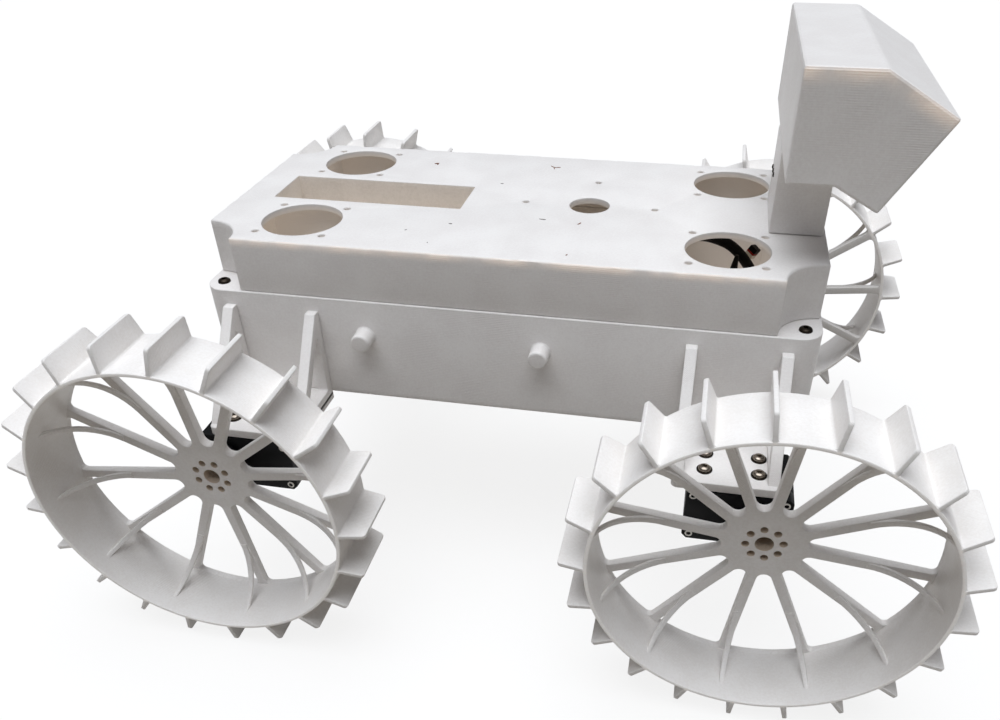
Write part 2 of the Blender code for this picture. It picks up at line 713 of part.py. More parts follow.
def main():
    clear_scene()
    make_tub()
    make_cover()
    make_neck()
    make_head()
    make_lens("camera_lens_left", 1)
    make_lens("camera_lens_right", -1)
    make_lead("inner_lead", LEAD_ROUTE, LEAD_RADIUS, BLACK_SHEATH)
    make_lead("sleeved_lead", SLEEVE_ROUTE, SLEEVE_RADIUS, BLACK_SHEATH, SLEEVE_TIP_RADIUS)
    make_lead("plug_lead", PLUG_ROUTE, PLUG_LEAD_RADIUS, RED_SHEATH)
    make_plug()

    wheel = wheel_mesh()
    horn = horn_mesh()
    servo = servo_mesh()
    bracket = bracket_mesh()
    for corner, end, side, turned in CORNERS:
        make_wheel("wheel_" + corner, wheel, end * HALF_WHEELBASE, side, turned)
        make_bracket("bracket_" + corner, bracket, end, side)
        turn = (0.0, 0.0, 0.0 if side < 0 else math.pi)
        # A servo reaches from its shaft towards the rover's middle
        case = servo.copy()
        if end * side > 0:
            case.transform(Matrix.Diagonal((-1.0, 1.0, 1.0, 1.0)))
            case.flip_normals()
        body = add_object("servo_" + corner, case, BLACK_SERVO)
        body.location = (end * HALF_WHEELBASE, side * SERVO_FACE_Y, AXLE_Z)
        body.rotation_euler = turn
        disc = add_object("servo_horn_" + corner, horn.copy(), HORN_METAL)
        disc.location = (end * HALF_WHEELBASE, side * (SERVO_FACE_Y + GAP), AXLE_Z)
        disc.rotation_euler = turn


main()
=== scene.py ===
# %% [markdown]
# A planetary rover prototype, dressed for its portrait
#
# The real object is a desk-sized rover, printed in white plastic and screwed together. Its solids are
# already made, and they say where every piece is. This lesson builds the fine surfaces over them:
# printed wheels with rounded edges, a deck with its ports and holes, servos, screws, crumbs and the
# finish of each material. Each step first says what the real piece is and then how it can be made.

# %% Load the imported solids
import json
import math

import bmesh
import bpy
from mathutils import Matrix, Vector, noise


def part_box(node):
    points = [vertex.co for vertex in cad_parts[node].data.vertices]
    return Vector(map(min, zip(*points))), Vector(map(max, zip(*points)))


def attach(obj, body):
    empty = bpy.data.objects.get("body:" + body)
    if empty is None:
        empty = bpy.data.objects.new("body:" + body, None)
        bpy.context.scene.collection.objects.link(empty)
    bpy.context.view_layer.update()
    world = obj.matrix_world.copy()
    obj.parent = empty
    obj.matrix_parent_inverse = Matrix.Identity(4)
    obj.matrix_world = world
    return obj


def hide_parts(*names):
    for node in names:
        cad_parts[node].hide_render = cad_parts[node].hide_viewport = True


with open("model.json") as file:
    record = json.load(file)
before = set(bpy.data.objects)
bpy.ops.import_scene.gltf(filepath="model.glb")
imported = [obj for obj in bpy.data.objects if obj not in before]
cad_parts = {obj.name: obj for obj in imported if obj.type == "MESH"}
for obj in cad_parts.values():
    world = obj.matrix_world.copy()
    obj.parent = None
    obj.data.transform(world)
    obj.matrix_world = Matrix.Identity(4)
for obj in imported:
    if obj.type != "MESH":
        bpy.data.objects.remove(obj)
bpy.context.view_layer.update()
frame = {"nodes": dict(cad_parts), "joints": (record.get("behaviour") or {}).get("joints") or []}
print("solids:", ", ".join(sorted(frame["nodes"])))

# %% [markdown]
# ## The camera
#
# The picture was taken from the rover's right side, looking down at 38 degrees, from so close that the
# near wheels look much larger than the far ones. A camera needs a place, a direction, a lens and,
# because the picture was cut out of a larger one, a small sideways shift of the film.

# %% Camera
CAMERA_PLACE = Vector((0.08757, -0.40414, 0.34156))
CAMERA_AZIMUTH = math.radians(11.264)
CAMERA_ELEVATION = math.radians(38.040)
CAMERA_ROLL = math.radians(-0.578)
CAMERA_LENS = 30.938
CAMERA_FILM_WIDTH = 36.0
CAMERA_SHIFT = (-0.0415, 0.1030)
CAMERA_NEAREST = 0.01


def make_camera():
    away = Vector((
        math.sin(CAMERA_AZIMUTH) * math.cos(CAMERA_ELEVATION),
        -math.cos(CAMERA_AZIMUTH) * math.cos(CAMERA_ELEVATION),
        math.sin(CAMERA_ELEVATION),
    ))
    level = Vector((0, 0, 1)).cross(away).normalized()
    upright = away.cross(level)
    right = level * math.cos(CAMERA_ROLL) + upright * math.sin(CAMERA_ROLL)
    up = upright * math.cos(CAMERA_ROLL) - level * math.sin(CAMERA_ROLL)
    camera = bpy.data.objects.new("camera", bpy.data.cameras.new("camera"))
    facing = Matrix((right, up, away)).transposed().to_4x4()
    camera.matrix_world = Matrix.Translation(CAMERA_PLACE) @ facing
    camera.data.lens = CAMERA_LENS
    camera.data.sensor_width = CAMERA_FILM_WIDTH
    camera.data.shift_x, camera.data.shift_y = CAMERA_SHIFT
    camera.data.clip_start = CAMERA_NEAREST
    bpy.context.scene.collection.objects.link(camera)
    bpy.context.scene.camera = camera


make_camera()
print("camera at", tuple(round(value, 3) for value in CAMERA_PLACE))

# %% [markdown]
# ## Colours and shader nodes
#
# A colour picked from a screen is written in sRGB, and Blender's shaders count in linear light. One
# function turns the usual hex text into linear numbers by the sRGB curve. Another adds a shader node with
# its settings and its incoming links, which keeps each material below readable as a short list of steps.

# %% Helpers for materials
WHITE = (1.0, 1.0, 1.0, 1.0)


def linear(hex_colour):
    """A colour such as '#E8E6E1' as linear red, green, blue and full opacity."""
    parts = [int(hex_colour[k:k + 2], 16) / 255 for k in (1, 3, 5)]
    return tuple(p / 12.92 if p <= 0.04045 else ((p + 0.055) / 1.055) ** 2.4 for p in parts) + (1.0,)


def add_node(tree, kind, settings, links):
    """Add a node, set its properties or sockets by name or number, and link its inputs."""
    made = tree.nodes.new(kind)
    for key, value in settings.items():
        if isinstance(key, str) and hasattr(made, key):
            setattr(made, key, value)
        else:
            made.inputs[key].default_value = value
    for key, source in links.items():
        tree.links.new(source, made.inputs[key])
    return made


def new_material(name):
    """An empty node material, its tree and its Principled shader."""
    made = bpy.data.materials.new(name)
    made.use_nodes = True
    return made, made.node_tree, made.node_tree.nodes["Principled BSDF"]


print("middle grey in linear light:", round(linear("#808080")[0], 3))

# %% [markdown]
# ## Light and floor
#
# A soft white ceiling lights the deck fully and leaves the walls at about a third of it, which is what
# makes the white rover readable against a white ground. One wide sun stands for the ceiling, a weak even
# sky fills the shadows, and the floor gives back a little warm light. The camera sees floor and sky as
# plain white, but the object only receives the weaker, greyer light of a table top.

# %% Ceiling and sky
CEILING_STRENGTH = 3.05
CEILING_WIDTH = math.radians(56)
CEILING_LEAN_REAR = math.radians(2)
CEILING_LEAN_RIGHT = math.radians(4)
CEILING_COLOUR = "#F6FAFF"
SKY_LEVEL = 0.175
SKY_COLOUR = "#F4F6FF"


def make_light():
    ceiling = bpy.data.objects.new("ceiling_light", bpy.data.lights.new("ceiling_light", "SUN"))
    ceiling.data.energy = CEILING_STRENGTH
    ceiling.data.angle = CEILING_WIDTH
    ceiling.data.color = linear(CEILING_COLOUR)[:3]
    ceiling.rotation_euler = (CEILING_LEAN_RIGHT, -CEILING_LEAN_REAR, 0.0)
    bpy.context.scene.collection.objects.link(ceiling)


def make_sky():
    world = bpy.data.worlds.new("studio")
    world.use_nodes = True
    tree = world.node_tree
    tree.nodes.clear()
    rays = add_node(tree, "ShaderNodeLightPath", {}, {})
    seen = add_node(tree, "ShaderNodeMath", {"operation": "MAXIMUM"}, {
        0: rays.outputs["Is Camera Ray"], 1: rays.outputs["Is Transmission Ray"]})
    fill = add_node(tree, "ShaderNodeBackground", {"Color": linear(SKY_COLOUR), "Strength": SKY_LEVEL}, {})
    white = add_node(tree, "ShaderNodeBackground", {"Color": WHITE, "Strength": 1.0}, {})
    mix = add_node(tree, "ShaderNodeMixShader", {}, {
        0: seen.outputs[0], 1: fill.outputs[0], 2: white.outputs[0]})
    add_node(tree, "ShaderNodeOutputWorld", {}, {"Surface": mix.outputs[0]})
    bpy.context.scene.world = world


bpy.context.scene.view_settings.view_transform = "Standard"
make_light()
make_sky()
print("ceiling light:", CEILING_STRENGTH, "sky:", SKY_LEVEL)

# %% Floor
TABLE_COLOUR = "#8A8378"
FLOOR_GLOW = 0.85
FLOOR_HALF = 4.0


def make_floor():
    mesh = bpy.data.meshes.new("floor")
    corners = [(a * FLOOR_HALF, b * FLOOR_HALF, 0) for a, b in ((-1, -1), (1, -1), (1, 1), (-1, 1))]
    mesh.from_pydata(corners, [], [(0, 1, 2, 3)])
    floor = bpy.data.objects.new("floor", mesh)
    bpy.context.scene.collection.objects.link(floor)
    painted, tree, shader = new_material("pale_studio_floor")
    tree.nodes.remove(shader)
    rays = add_node(tree, "ShaderNodeLightPath", {}, {})
    seen = add_node(tree, "ShaderNodeMath", {"operation": "MAXIMUM"}, {
        0: rays.outputs["Is Camera Ray"], 1: rays.outputs["Is Glossy Ray"]})
    pale = add_node(tree, "ShaderNodeBsdfDiffuse", {"Color": WHITE}, {})
    table = add_node(tree, "ShaderNodeBsdfDiffuse", {"Color": linear(TABLE_COLOUR)}, {})
    glow = add_node(tree, "ShaderNodeEmission", {"Color": WHITE, "Strength": 1.0}, {})
    white = add_node(tree, "ShaderNodeMixShader", {0: FLOOR_GLOW}, {1: pale.outputs[0], 2: glow.outputs[0]})
    mix = add_node(tree, "ShaderNodeMixShader", {}, {
        0: seen.outputs[0], 1: table.outputs[0], 2: white.outputs[0]})
    tree.links.new(mix.outputs[0], tree.nodes["Material Output"].inputs["Surface"])
    floor.data.materials.append(painted)


make_floor()
print("floor:", 2 * FLOOR_HALF, "m wide")

# %% [markdown]
# ## Light that comes through white plastic
#
# Body, wheels, brackets and head are printed in PLA, a warm white plastic that light enters a little
# way. Walls three millimetres thick let a few percent through, so the hollow body looks beige and glows
# faintly inside. Just below the lit top edges of deck and head the side walls are warm and pale, the
# rim's narrow front edge is brighter than the wheel around it, and the walls of the hub's holes look
# yellowish. To follow light through the plastic would take far too many rays. Each of these is a weak
# glow or a tint instead, whose share follows from the distance to the faces where the light gets in.

# %% Shares of light in the body
COVER_HALF_X, COVER_HALF_Y, DECK_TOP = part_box("cover")[1]
TUB_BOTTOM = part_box("tub")[0].z
NOTCH_RADIUS = 0.0185
WALL = 0.0030
SKIN_START = 0.0008
SKIN_END = 0.0022
DECK_SKIN_START = 0.0002
PORT_LIGHT_START_X = 0.060
PORT_LIGHT_FULL_X = 0.095
MIDDLE_LIGHT = 0.25
WALL_SHADE_WIDTH = 0.012
WALL_LIGHT = 0.45


def inside_body(tree, place):
    """Two shares, both 0 outside the walls: what is inside, and how much light reaches it."""
    sizes = add_node(tree, "ShaderNodeVectorMath", {"operation": "ABSOLUTE"}, {0: place})
    x, y, z = add_node(tree, "ShaderNodeSeparateXYZ", {}, {0: sizes.outputs[0]}).outputs
    plan = add_node(tree, "ShaderNodeCombineXYZ", {}, {0: x, 1: y})
    corner = add_node(tree, "ShaderNodeVectorMath", {
        "operation": "DISTANCE", 1: (COVER_HALF_X, COVER_HALF_Y, 0.0)}, {0: plan.outputs[0]})
    inside = None
    # Each row: a distance, the outer face's place on it, the direction inwards, where the skin starts
    for value, face, inwards, start in (
            (x, COVER_HALF_X, -1, SKIN_START),
            (y, COVER_HALF_Y, -1, SKIN_START),
            (corner.outputs["Value"], NOTCH_RADIUS, 1, SKIN_START),
            (z, TUB_BOTTOM, 1, SKIN_START),
            (z, DECK_TOP, -1, DECK_SKIN_START)):
        within = add_node(tree, "ShaderNodeMapRange", {
            "From Min": face + inwards * start, "From Max": face + inwards * SKIN_END}, {"Value": value})
        inside = within if inside is None else add_node(tree, "ShaderNodeMath", {"operation": "MINIMUM"}, {
            0: inside.outputs[0], 1: within.outputs[0]})
    lit = inside
    # The deck's ports are near its ends, so the middle is darker, and so are the long walls
    for value, dark, bright, least in (
            (x, PORT_LIGHT_START_X, PORT_LIGHT_FULL_X, MIDDLE_LIGHT),
            (y, COVER_HALF_Y - WALL, COVER_HALF_Y - WALL_SHADE_WIDTH, WALL_LIGHT)):
        reached = add_node(tree, "ShaderNodeMapRange", {
            "From Min": dark, "From Max": bright, "To Min": least}, {"Value": value})
        lit = add_node(tree, "ShaderNodeMath", {"operation": "MULTIPLY"}, {
            0: lit.outputs[0], 1: reached.outputs[0]})
    return inside.outputs[0], lit.outputs[0]


print("body's half length, half width and deck:", COVER_HALF_X, COVER_HALF_Y, round(DECK_TOP, 4))

# %% Shares of light at edges and thin walls
MOTTLE = {"From Min": 0.40, "From Max": 0.60}
LEAST_PATCH = 0.25
SIDE_START = 0.0008
SIDE_END = 0.0001
RIM_RADIUS = 0.0745
RIM_WALL = 0.0018
EDGE_BLUR = 0.0002
HUB_HOLES_END = 0.0100
HUB_HOLES_BLUR = 0.0006
FACING_FLAT = 0.6
FACING_WALL = 0.3


def below_edge(tree, place, blotches, planes, half_width, reach):
    """How near a point of a side wall is to a lit top plane; each plane is a normal and its distance."""
    near = None
    for normal, distance in planes:
        along = add_node(tree, "ShaderNodeVectorMath", {"operation": "DOT_PRODUCT", 1: normal}, {0: place})
        share = add_node(tree, "ShaderNodeMapRange", {
            "interpolation_type": "SMOOTHSTEP", "From Min": distance - reach, "From Max": distance}, {
            "Value": along.outputs["Value"]})
        near = share if near is None else add_node(tree, "ShaderNodeMath", {"operation": "MAXIMUM"}, {
            0: near.outputs[0], 1: share.outputs[0]})
    patches = add_node(tree, "ShaderNodeMapRange", MOTTLE | {"To Min": LEAST_PATCH}, {"Value": blotches})
    sizes = add_node(tree, "ShaderNodeVectorMath", {"operation": "ABSOLUTE"}, {0: place})
    across = add_node(tree, "ShaderNodeSeparateXYZ", {}, {0: sizes.outputs[0]})
    wall = add_node(tree, "ShaderNodeMapRange", {
        "From Min": half_width - SIDE_START, "From Max": half_width - SIDE_END}, {
        "Value": across.outputs["Y"]})
    made = near
    for share in (wall, patches):
        made = add_node(tree, "ShaderNodeMath", {"operation": "MULTIPLY"}, {
            0: made.outputs[0], 1: share.outputs[0]})
    return made.outputs[0]


def thin_wheel_walls(tree, place):
    """Two shares, each 1 or 0: the walls of the holes in a wheel's hub, and the rim's narrow front edge."""
    plan = add_node(tree, "ShaderNodeVectorMath", {"operation": "MULTIPLY", 1: (1.0, 0.0, 1.0)}, {0: place})
    radius = add_node(tree, "ShaderNodeVectorMath", {"operation": "LENGTH"}, {0: plan.outputs[0]})
    surface = add_node(tree, "ShaderNodeNewGeometry", {}, {})
    facing = add_node(tree, "ShaderNodeSeparateXYZ", {}, {0: surface.outputs["True Normal"]})
    sideways = add_node(tree, "ShaderNodeMath", {"operation": "ABSOLUTE"}, {0: facing.outputs["Y"]})
    inner = RIM_RADIUS - RIM_WALL
    hub, rim, rim_end, hole = [
        add_node(tree, "ShaderNodeMapRange", {"From Min": none, "From Max": full}, {"Value": value})
        for value, none, full in (
            (radius.outputs["Value"], HUB_HOLES_END + HUB_HOLES_BLUR, HUB_HOLES_END),
            (radius.outputs["Value"], inner - EDGE_BLUR, inner + EDGE_BLUR),
            (radius.outputs["Value"], RIM_RADIUS + 2 * EDGE_BLUR, RIM_RADIUS),
            (sideways.outputs[0], FACING_FLAT, FACING_WALL))]
    band, walls = [
        add_node(tree, "ShaderNodeMath", {"operation": "MULTIPLY"}, {0: a.outputs[0], 1: b.outputs[0]})
        for a, b in ((rim, rim_end), (hub, hole))]
    edge = add_node(tree, "ShaderNodeMath", {"operation": "MULTIPLY"}, {
        0: band.outputs[0], 1: sideways.outputs[0]})
    return walls.outputs[0], edge.outputs[0]


def let_light_out(tree, shader, share, tint, strength):
    """Let the plastic glow in a tint where share is above zero, on top of any glow that it has."""
    light = add_node(tree, "ShaderNodeVectorMath", {
        "operation": "SCALE", 0: [part * strength for part in linear(tint)[:3]]}, {"Scale": share})
    glow = shader.inputs["Emission Color"]
    if glow.is_linked:
        light = add_node(tree, "ShaderNodeVectorMath", {"operation": "ADD"}, {
            0: glow.links[0].from_socket, 1: light.outputs[0]})
    tree.links.new(light.outputs[0], glow)
    shader.inputs["Emission Strength"].default_value = 1.0


print("rim's front edge from", round(RIM_RADIUS - RIM_WALL, 4), "to", RIM_RADIUS)

# %% [markdown]
# ## White PLA, printed in layers
#
# PLA is polylactic acid, melted and laid down in layers of about 0.2 mm. Flat tops show the slanted
# tracks of the nozzle, about 0.4 mm apart, and walls show its level rings. Both are too fine for a
# picture in which a pixel covers half a millimetre, so the rings are drawn every 0.9 mm and the tracks
# every 1.1 mm, very shallow. Wave textures make them, and noise breaks them up, because no printer lays
# them evenly: blotches of 18 mm, and a grain of 1.1 mm. The eye gets a soft, slightly silky white without
# clear reflections. The wheels are a shade paler than the body. The bay has two beige tones and a faint
# glow, which are painted light for the light that comes through its thin walls.

# %% Printed plastic
LAYER_STEP = 0.0009
TRACK_STEP = 0.0011
WAVE_UNIT = math.pi / 10
BLOTCH_SIZE = 1 / 55
GRAIN_SIZE = 1 / 900
RELIEF_DEPTH = 0.0003
RELIEF_STRENGTH = 0.28
PLA_ROUGHNESS = 0.46
PLA_IOR = 1.46
PLA_LIGHT = "#F0EDEA"
PLA_SHADE = "#EBE7E4"
INSIDE_LIGHT_BEIGE = "#F0E8DF"
PLA_HOLE = "#DACAB7"
EDGE_LIGHT = "#F9D6B4"
WALL_GLOW = 0.090
RIM_EDGE_GLOW = 0.13


def printed_plastic(name, layer_axis, tones=(PLA_LIGHT, PLA_SHADE), hollow=False, wheel=False,
                    lit_edge=None):
    """White PLA whose layers are stacked along one axis.

    hollow adds the light inside the body, and wheel that of a wheel's thin walls. lit_edge is the planes,
    half width, reach and strength of the warm band below a lit top edge.
    """
    made, tree, shader = new_material(name)
    place = add_node(tree, "ShaderNodeTexCoord", {}, {}).outputs["Object"]
    blotches, grain = [
        add_node(tree, "ShaderNodeTexNoise", {"Scale": 1 / size, "Detail": detail}, {
            "Vector": place}).outputs["Fac"]
        for size, detail in ((BLOTCH_SIZE, 4.0), (GRAIN_SIZE, 2.0))]
    both = add_node(tree, "ShaderNodeMix", {"data_type": "FLOAT", 0: 0.5}, {2: blotches, 3: grain})
    shade = add_node(tree, "ShaderNodeMapRange", MOTTLE, {"Value": both.outputs[0]})
    colour = add_node(tree, "ShaderNodeMix", {
        "data_type": "RGBA", 6: linear(tones[0]), 7: linear(tones[1])}, {0: shade.outputs[0]}).outputs[2]
    layers, tracks = [
        add_node(tree, "ShaderNodeTexWave", {
            "bands_direction": bands, "Scale": WAVE_UNIT / step, "Distortion": distortion,
            "Detail": 2.0, "Detail Scale": 0.4}, {"Vector": place}).outputs["Fac"]
        for bands, step, distortion in ((layer_axis, LAYER_STEP, 0.6), ("DIAGONAL", TRACK_STEP / 2, 0.8))]
    surface = add_node(tree, "ShaderNodeNewGeometry", {}, {})
    facing = add_node(tree, "ShaderNodeSeparateXYZ", {}, {0: surface.outputs["Normal"]})
    flat = add_node(tree, "ShaderNodeMath", {"operation": "ABSOLUTE"}, {0: facing.outputs[layer_axis]})
    lines = add_node(tree, "ShaderNodeMix", {"data_type": "FLOAT"}, {
        0: flat.outputs[0], 2: layers, 3: tracks})
    worn = add_node(tree, "ShaderNodeMapRange", {
        "From Min": 0.4, "From Max": 0.65, "To Min": 0.15, "To Max": 1.0}, {"Value": blotches})
    relief = add_node(tree, "ShaderNodeMath", {"operation": "MULTIPLY"}, {
        0: lines.outputs[0], 1: worn.outputs[0]})
    height = add_node(tree, "ShaderNodeMath", {"operation": "ADD"}, {0: relief.outputs[0], 1: grain})
    bump = add_node(tree, "ShaderNodeBump", {"Strength": RELIEF_STRENGTH, "Distance": RELIEF_DEPTH}, {
        "Height": height.outputs[0]})
    rough = add_node(tree, "ShaderNodeMapRange", {
        "From Min": 0.3, "From Max": 0.7, "To Min": PLA_ROUGHNESS - 0.06, "To Max": PLA_ROUGHNESS + 0.08}, {
        "Value": grain})
    if hollow:
        inside, lit = inside_body(tree, place)
        colour = add_node(tree, "ShaderNodeMix", {"data_type": "RGBA", 7: linear(INSIDE_LIGHT_BEIGE)}, {
            0: inside, 6: colour}).outputs[2]
        let_light_out(tree, shader, lit, INSIDE_LIGHT_BEIGE, WALL_GLOW)
    if lit_edge:
        planes, half_width, reach, strength = lit_edge
        share = below_edge(tree, place, blotches, planes, half_width, reach)
        let_light_out(tree, shader, share, EDGE_LIGHT, strength)
    if wheel:
        walls, edge = thin_wheel_walls(tree, place)
        colour = add_node(tree, "ShaderNodeMix", {"data_type": "RGBA", 7: linear(PLA_HOLE)}, {
            0: walls, 6: colour}).outputs[2]
        let_light_out(tree, shader, edge, PLA_LIGHT, RIM_EDGE_GLOW)
    tree.links.new(colour, shader.inputs["Base Color"])
    tree.links.new(rough.outputs[0], shader.inputs["Roughness"])
    tree.links.new(bump.outputs[0], shader.inputs["Normal"])
    shader.inputs["IOR"].default_value = PLA_IOR
    return made


print("layers drawn every", 1000 * LAYER_STEP, "mm")

# %% Make the PLA finishes
WHEEL_LIGHT = "#F4F1EE"
WHEEL_SHADE = "#EEEAE6"
# Painted light in the bay: a second beige tone and a faint glow for the light that comes through its walls
BAY_SHADE = "#E8E0D6"
BAY_GLOW = 0.035
DECK_EDGE_GLOW = 0.26
DECK_EDGE_REACH = 0.0050
HEAD_EDGE_GLOW = 0.25
HEAD_EDGE_REACH = 0.0080
HEAD_HALF_WIDTH, HEAD_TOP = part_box("camera_head")[1].yz
UP = Vector((0, 0, 1))
SLANT_START_X = 0.1470
SLANT_NORMAL = Vector((0.4935, 0.0, 0.8697))
slant_distance = SLANT_NORMAL.dot((SLANT_START_X, 0.0, HEAD_TOP))
deck_edge = ([(UP, DECK_TOP)], COVER_HALF_Y, DECK_EDGE_REACH, DECK_EDGE_GLOW)
head_edge = ([(UP, HEAD_TOP), (SLANT_NORMAL, slant_distance)], HEAD_HALF_WIDTH, HEAD_EDGE_REACH,
             HEAD_EDGE_GLOW)
body_pla = printed_plastic("white_pla_body_print", "Z", hollow=True, lit_edge=deck_edge)
head_pla = printed_plastic("white_pla_head_print", "Z", lit_edge=head_edge)
upright_pla = printed_plastic("white_pla_upright_print", "Z")
# The bay's two beige tones and its glow are painted light, standing in for light through its thin walls
bay_pla = printed_plastic("white_pla_bay_print", "Z", (INSIDE_LIGHT_BEIGE, BAY_SHADE))
bay_shader = bay_pla.node_tree.nodes["Principled BSDF"]
bay_shader.inputs["Emission Color"].default_value = linear(INSIDE_LIGHT_BEIGE)
bay_shader.inputs["Emission Strength"].default_value = BAY_GLOW
wheel_pla = printed_plastic("white_pla_wheel_print", "Y", (WHEEL_LIGHT, WHEEL_SHADE), wheel=True)
print("PLA finishes:", body_pla.name, head_pla.name, upright_pla.name, bay_pla.name, wheel_pla.name)

# %% [markdown]
# ## Moulded ABS, steel, aluminium, glass and wire
#
# Bought parts have smoother surfaces than printed ones. A servo case is injection-moulded black ABS,
# whose spark-eroded mould leaves a fine even grain of about 0.3 mm, drawn at 0.6 mm so that it shows.
# The bracket screws are stainless steel, turned and tumbled, so they keep a soft sheen. Their washers
# and the cover's screws are browned steel, nearly black with a warm reflection. The screws in a servo's
# face are zinc-plated, pale and dull. The servo's output disc is aluminium, anodised dark. The camera
# windows are coated glass, nearly black and very smooth. Leads have soft extruded sleeves, which shine a
# little where they bend. One function makes all of these: two tones and a polish follow one noise, whose
# size is that of the marks on the real surface.

# %% Bought materials
HANDLED_SIZE = 1 / 90
MOULD_GRAIN_SIZE = 1 / 1600
MOULD_GRAIN_DEPTH = 0.0001
TUMBLE_SIZE = 1 / 700
RIPPLE_SIZE = 1 / 220
COAT_CLOUD_SIZE = 1 / 60


def bought_finish(name, tones, size, detail, roughness, sockets, grained=False):
    """A finish whose tone and roughness vary with marks of one size; sockets are the shader's constants."""
    made, tree, shader = new_material(name)
    place = add_node(tree, "ShaderNodeTexCoord", {}, {}).outputs["Object"]
    marks = add_node(tree, "ShaderNodeTexNoise", {"Scale": 1 / size, "Detail": detail}, {"Vector": place})
    colour = add_node(tree, "ShaderNodeMix", {
        "data_type": "RGBA", 6: linear(tones[0]), 7: linear(tones[1])}, {0: marks.outputs["Fac"]})
    tree.links.new(colour.outputs[2], shader.inputs["Base Color"])
    if roughness:
        rough = add_node(tree, "ShaderNodeMapRange", {"To Min": roughness[0], "To Max": roughness[1]}, {
            "Value": marks.outputs["Fac"]})
        tree.links.new(rough.outputs[0], shader.inputs["Roughness"])
    if grained:
        grain = add_node(tree, "ShaderNodeTexNoise", {"Scale": 1 / MOULD_GRAIN_SIZE, "Detail": 2.0}, {
            "Vector": place})
        bump = add_node(tree, "ShaderNodeBump", {"Strength": 0.25, "Distance": MOULD_GRAIN_DEPTH}, {
            "Height": grain.outputs["Fac"]})
        tree.links.new(bump.outputs[0], shader.inputs["Normal"])
    for socket, value in sockets.items():
        shader.inputs[socket].default_value = value
    return made


def metal(name, light, dark, roughness):
    """Small tumbled, plated or anodised parts, whose polish varies a little."""
    return bought_finish(name, (light, dark), TUMBLE_SIZE, 3.0, (roughness - 0.08, roughness + 0.12),
                         {"Metallic": 1.0})


def soft_matter(name, light, dark):
    """Wire insulation, nylon, fibre or crumbs: matt, and even in tone apart from faint ripples."""
    return bought_finish(name, (light, dark), RIPPLE_SIZE, 2.0, (0.42, 0.62), {"Specular IOR Level": 0.15})


servo_abs = bought_finish("black_moulded_abs", ("#050506", "#0B0B0D"), HANDLED_SIZE, 3.0, (0.45, 0.65),
                          {"Specular IOR Level": 0.2}, grained=True)
window_glass = bought_finish("coated_camera_glass", ("#08080C", "#14121C"), COAT_CLOUD_SIZE, 2.0, None,
                             {"Roughness": 0.06, "IOR": 1.52})
screw_steel = metal("tumbled_stainless_steel", "#A1978B", "#756C63", 0.26)
washer_steel = metal("browned_steel", "#3D362F", "#26211C", 0.38)
rim_steel = metal("zinc_plated_steel", "#F2EFE9", "#D8D4CC", 0.60)
horn_aluminium = metal("anodised_aluminium", "#4A4A4D", "#2E2E31", 0.38)
black_sleeve = soft_matter("black_extruded_sleeve", "#060607", "#030304")
red_sleeve = soft_matter("red_extruded_sleeve", "#A5261D", "#741610")
plug_nylon = soft_matter("natural_nylon_housing", "#DDD5C8", "#CFC6B8")
brown_fibre = soft_matter("brown_dry_fibre", "#8A5A3A", "#6B4029")
grey_swarf = soft_matter("grey_print_swarf", "#8F8B87", "#6F6A66")
print("materials in all:", len(bpy.data.materials))

# %% [markdown]
# ## Outlines
#
# Nearly every printed piece here is a flat outline pushed up into a plate: the deck, the wheel's spokes,
# a grouser, a bracket's rib. An outline is a list of points, drawn from arcs and corners. Its corners can
# be rounded, its sides divided, and the whole of it moved into the material by an amount.

# %% Outlines
STRAIGHT = math.radians(89)
SHARPEST_SHARE = 0.35


def arc(centre, radius, first, last, steps):
    """Points on an arc from first to last degree, both ends included."""
    turns = [math.radians(first + (last - first) * k / steps) for k in range(steps + 1)]
    return [(centre[0] + radius * math.cos(t), centre[1] + radius * math.sin(t)) for t in turns]


def circle(centre, radius, sides):
    return arc(centre, radius, 0, 360 * (sides - 1) / sides, sides - 1)


def area(points):
    pairs = zip(points, points[1:] + points[:1])
    return sum(a[0] * b[1] - b[0] * a[1] for a, b in pairs) / 2


def round_corners(points, radius, steps=4):
    """Replace each corner of an outline by an arc; radius is one number, or one for each corner."""
    radii = radius if isinstance(radius, (list, tuple)) else [radius] * len(points)
    made = []
    for k, corner in enumerate(points):
        here = Vector(corner)
        back = (Vector(points[k - 1]) - here).normalized()
        ahead = (Vector(points[(k + 1) % len(points)]) - here).normalized()
        half = math.acos(max(-1.0, min(1.0, back.dot(ahead)))) / 2
        if radii[k] <= 0 or half > STRAIGHT:
            made.append(tuple(here))
            continue
        reach = radii[k] / math.tan(half)
        middle = here + (back + ahead).normalized() * radii[k] / math.sin(half)
        start, end = here + back * reach - middle, here + ahead * reach - middle
        turn = start.angle_signed(end)
        for step in range(steps + 1):
            angle = -turn * step / steps
            made.append(tuple(middle + Matrix.Rotation(angle, 2) @ start))
    return made


def divided(points, step):
    """The same outline with extra points, so that no side is longer than a step."""
    made = []
    for here, ahead in zip(points, points[1:] + points[:1]):
        here, ahead = Vector(here), Vector(ahead)
        count = max(1, math.ceil((ahead - here).length / step))
        made += [tuple(here.lerp(ahead, k / count)) for k in range(count)]
    return made


def moved_inwards(points, amount):
    """Shift an outline to its left: into the material, for an outer loop that runs anticlockwise."""
    made = []
    for k, corner in enumerate(points):
        here = Vector(corner)
        before = (here - Vector(points[k - 1])).normalized()
        after = (Vector(points[(k + 1) % len(points)]) - here).normalized()
        left = Vector((-before.y - after.y, before.x + after.x)).normalized()
        share = max(SHARPEST_SHARE, left.dot(Vector((-before.y, before.x))))
        made.append(tuple(here + left * amount / share))
    return made


print("area of a unit circle with 96 sides:", round(area(circle((0, 0), 1.0, 96)), 3))

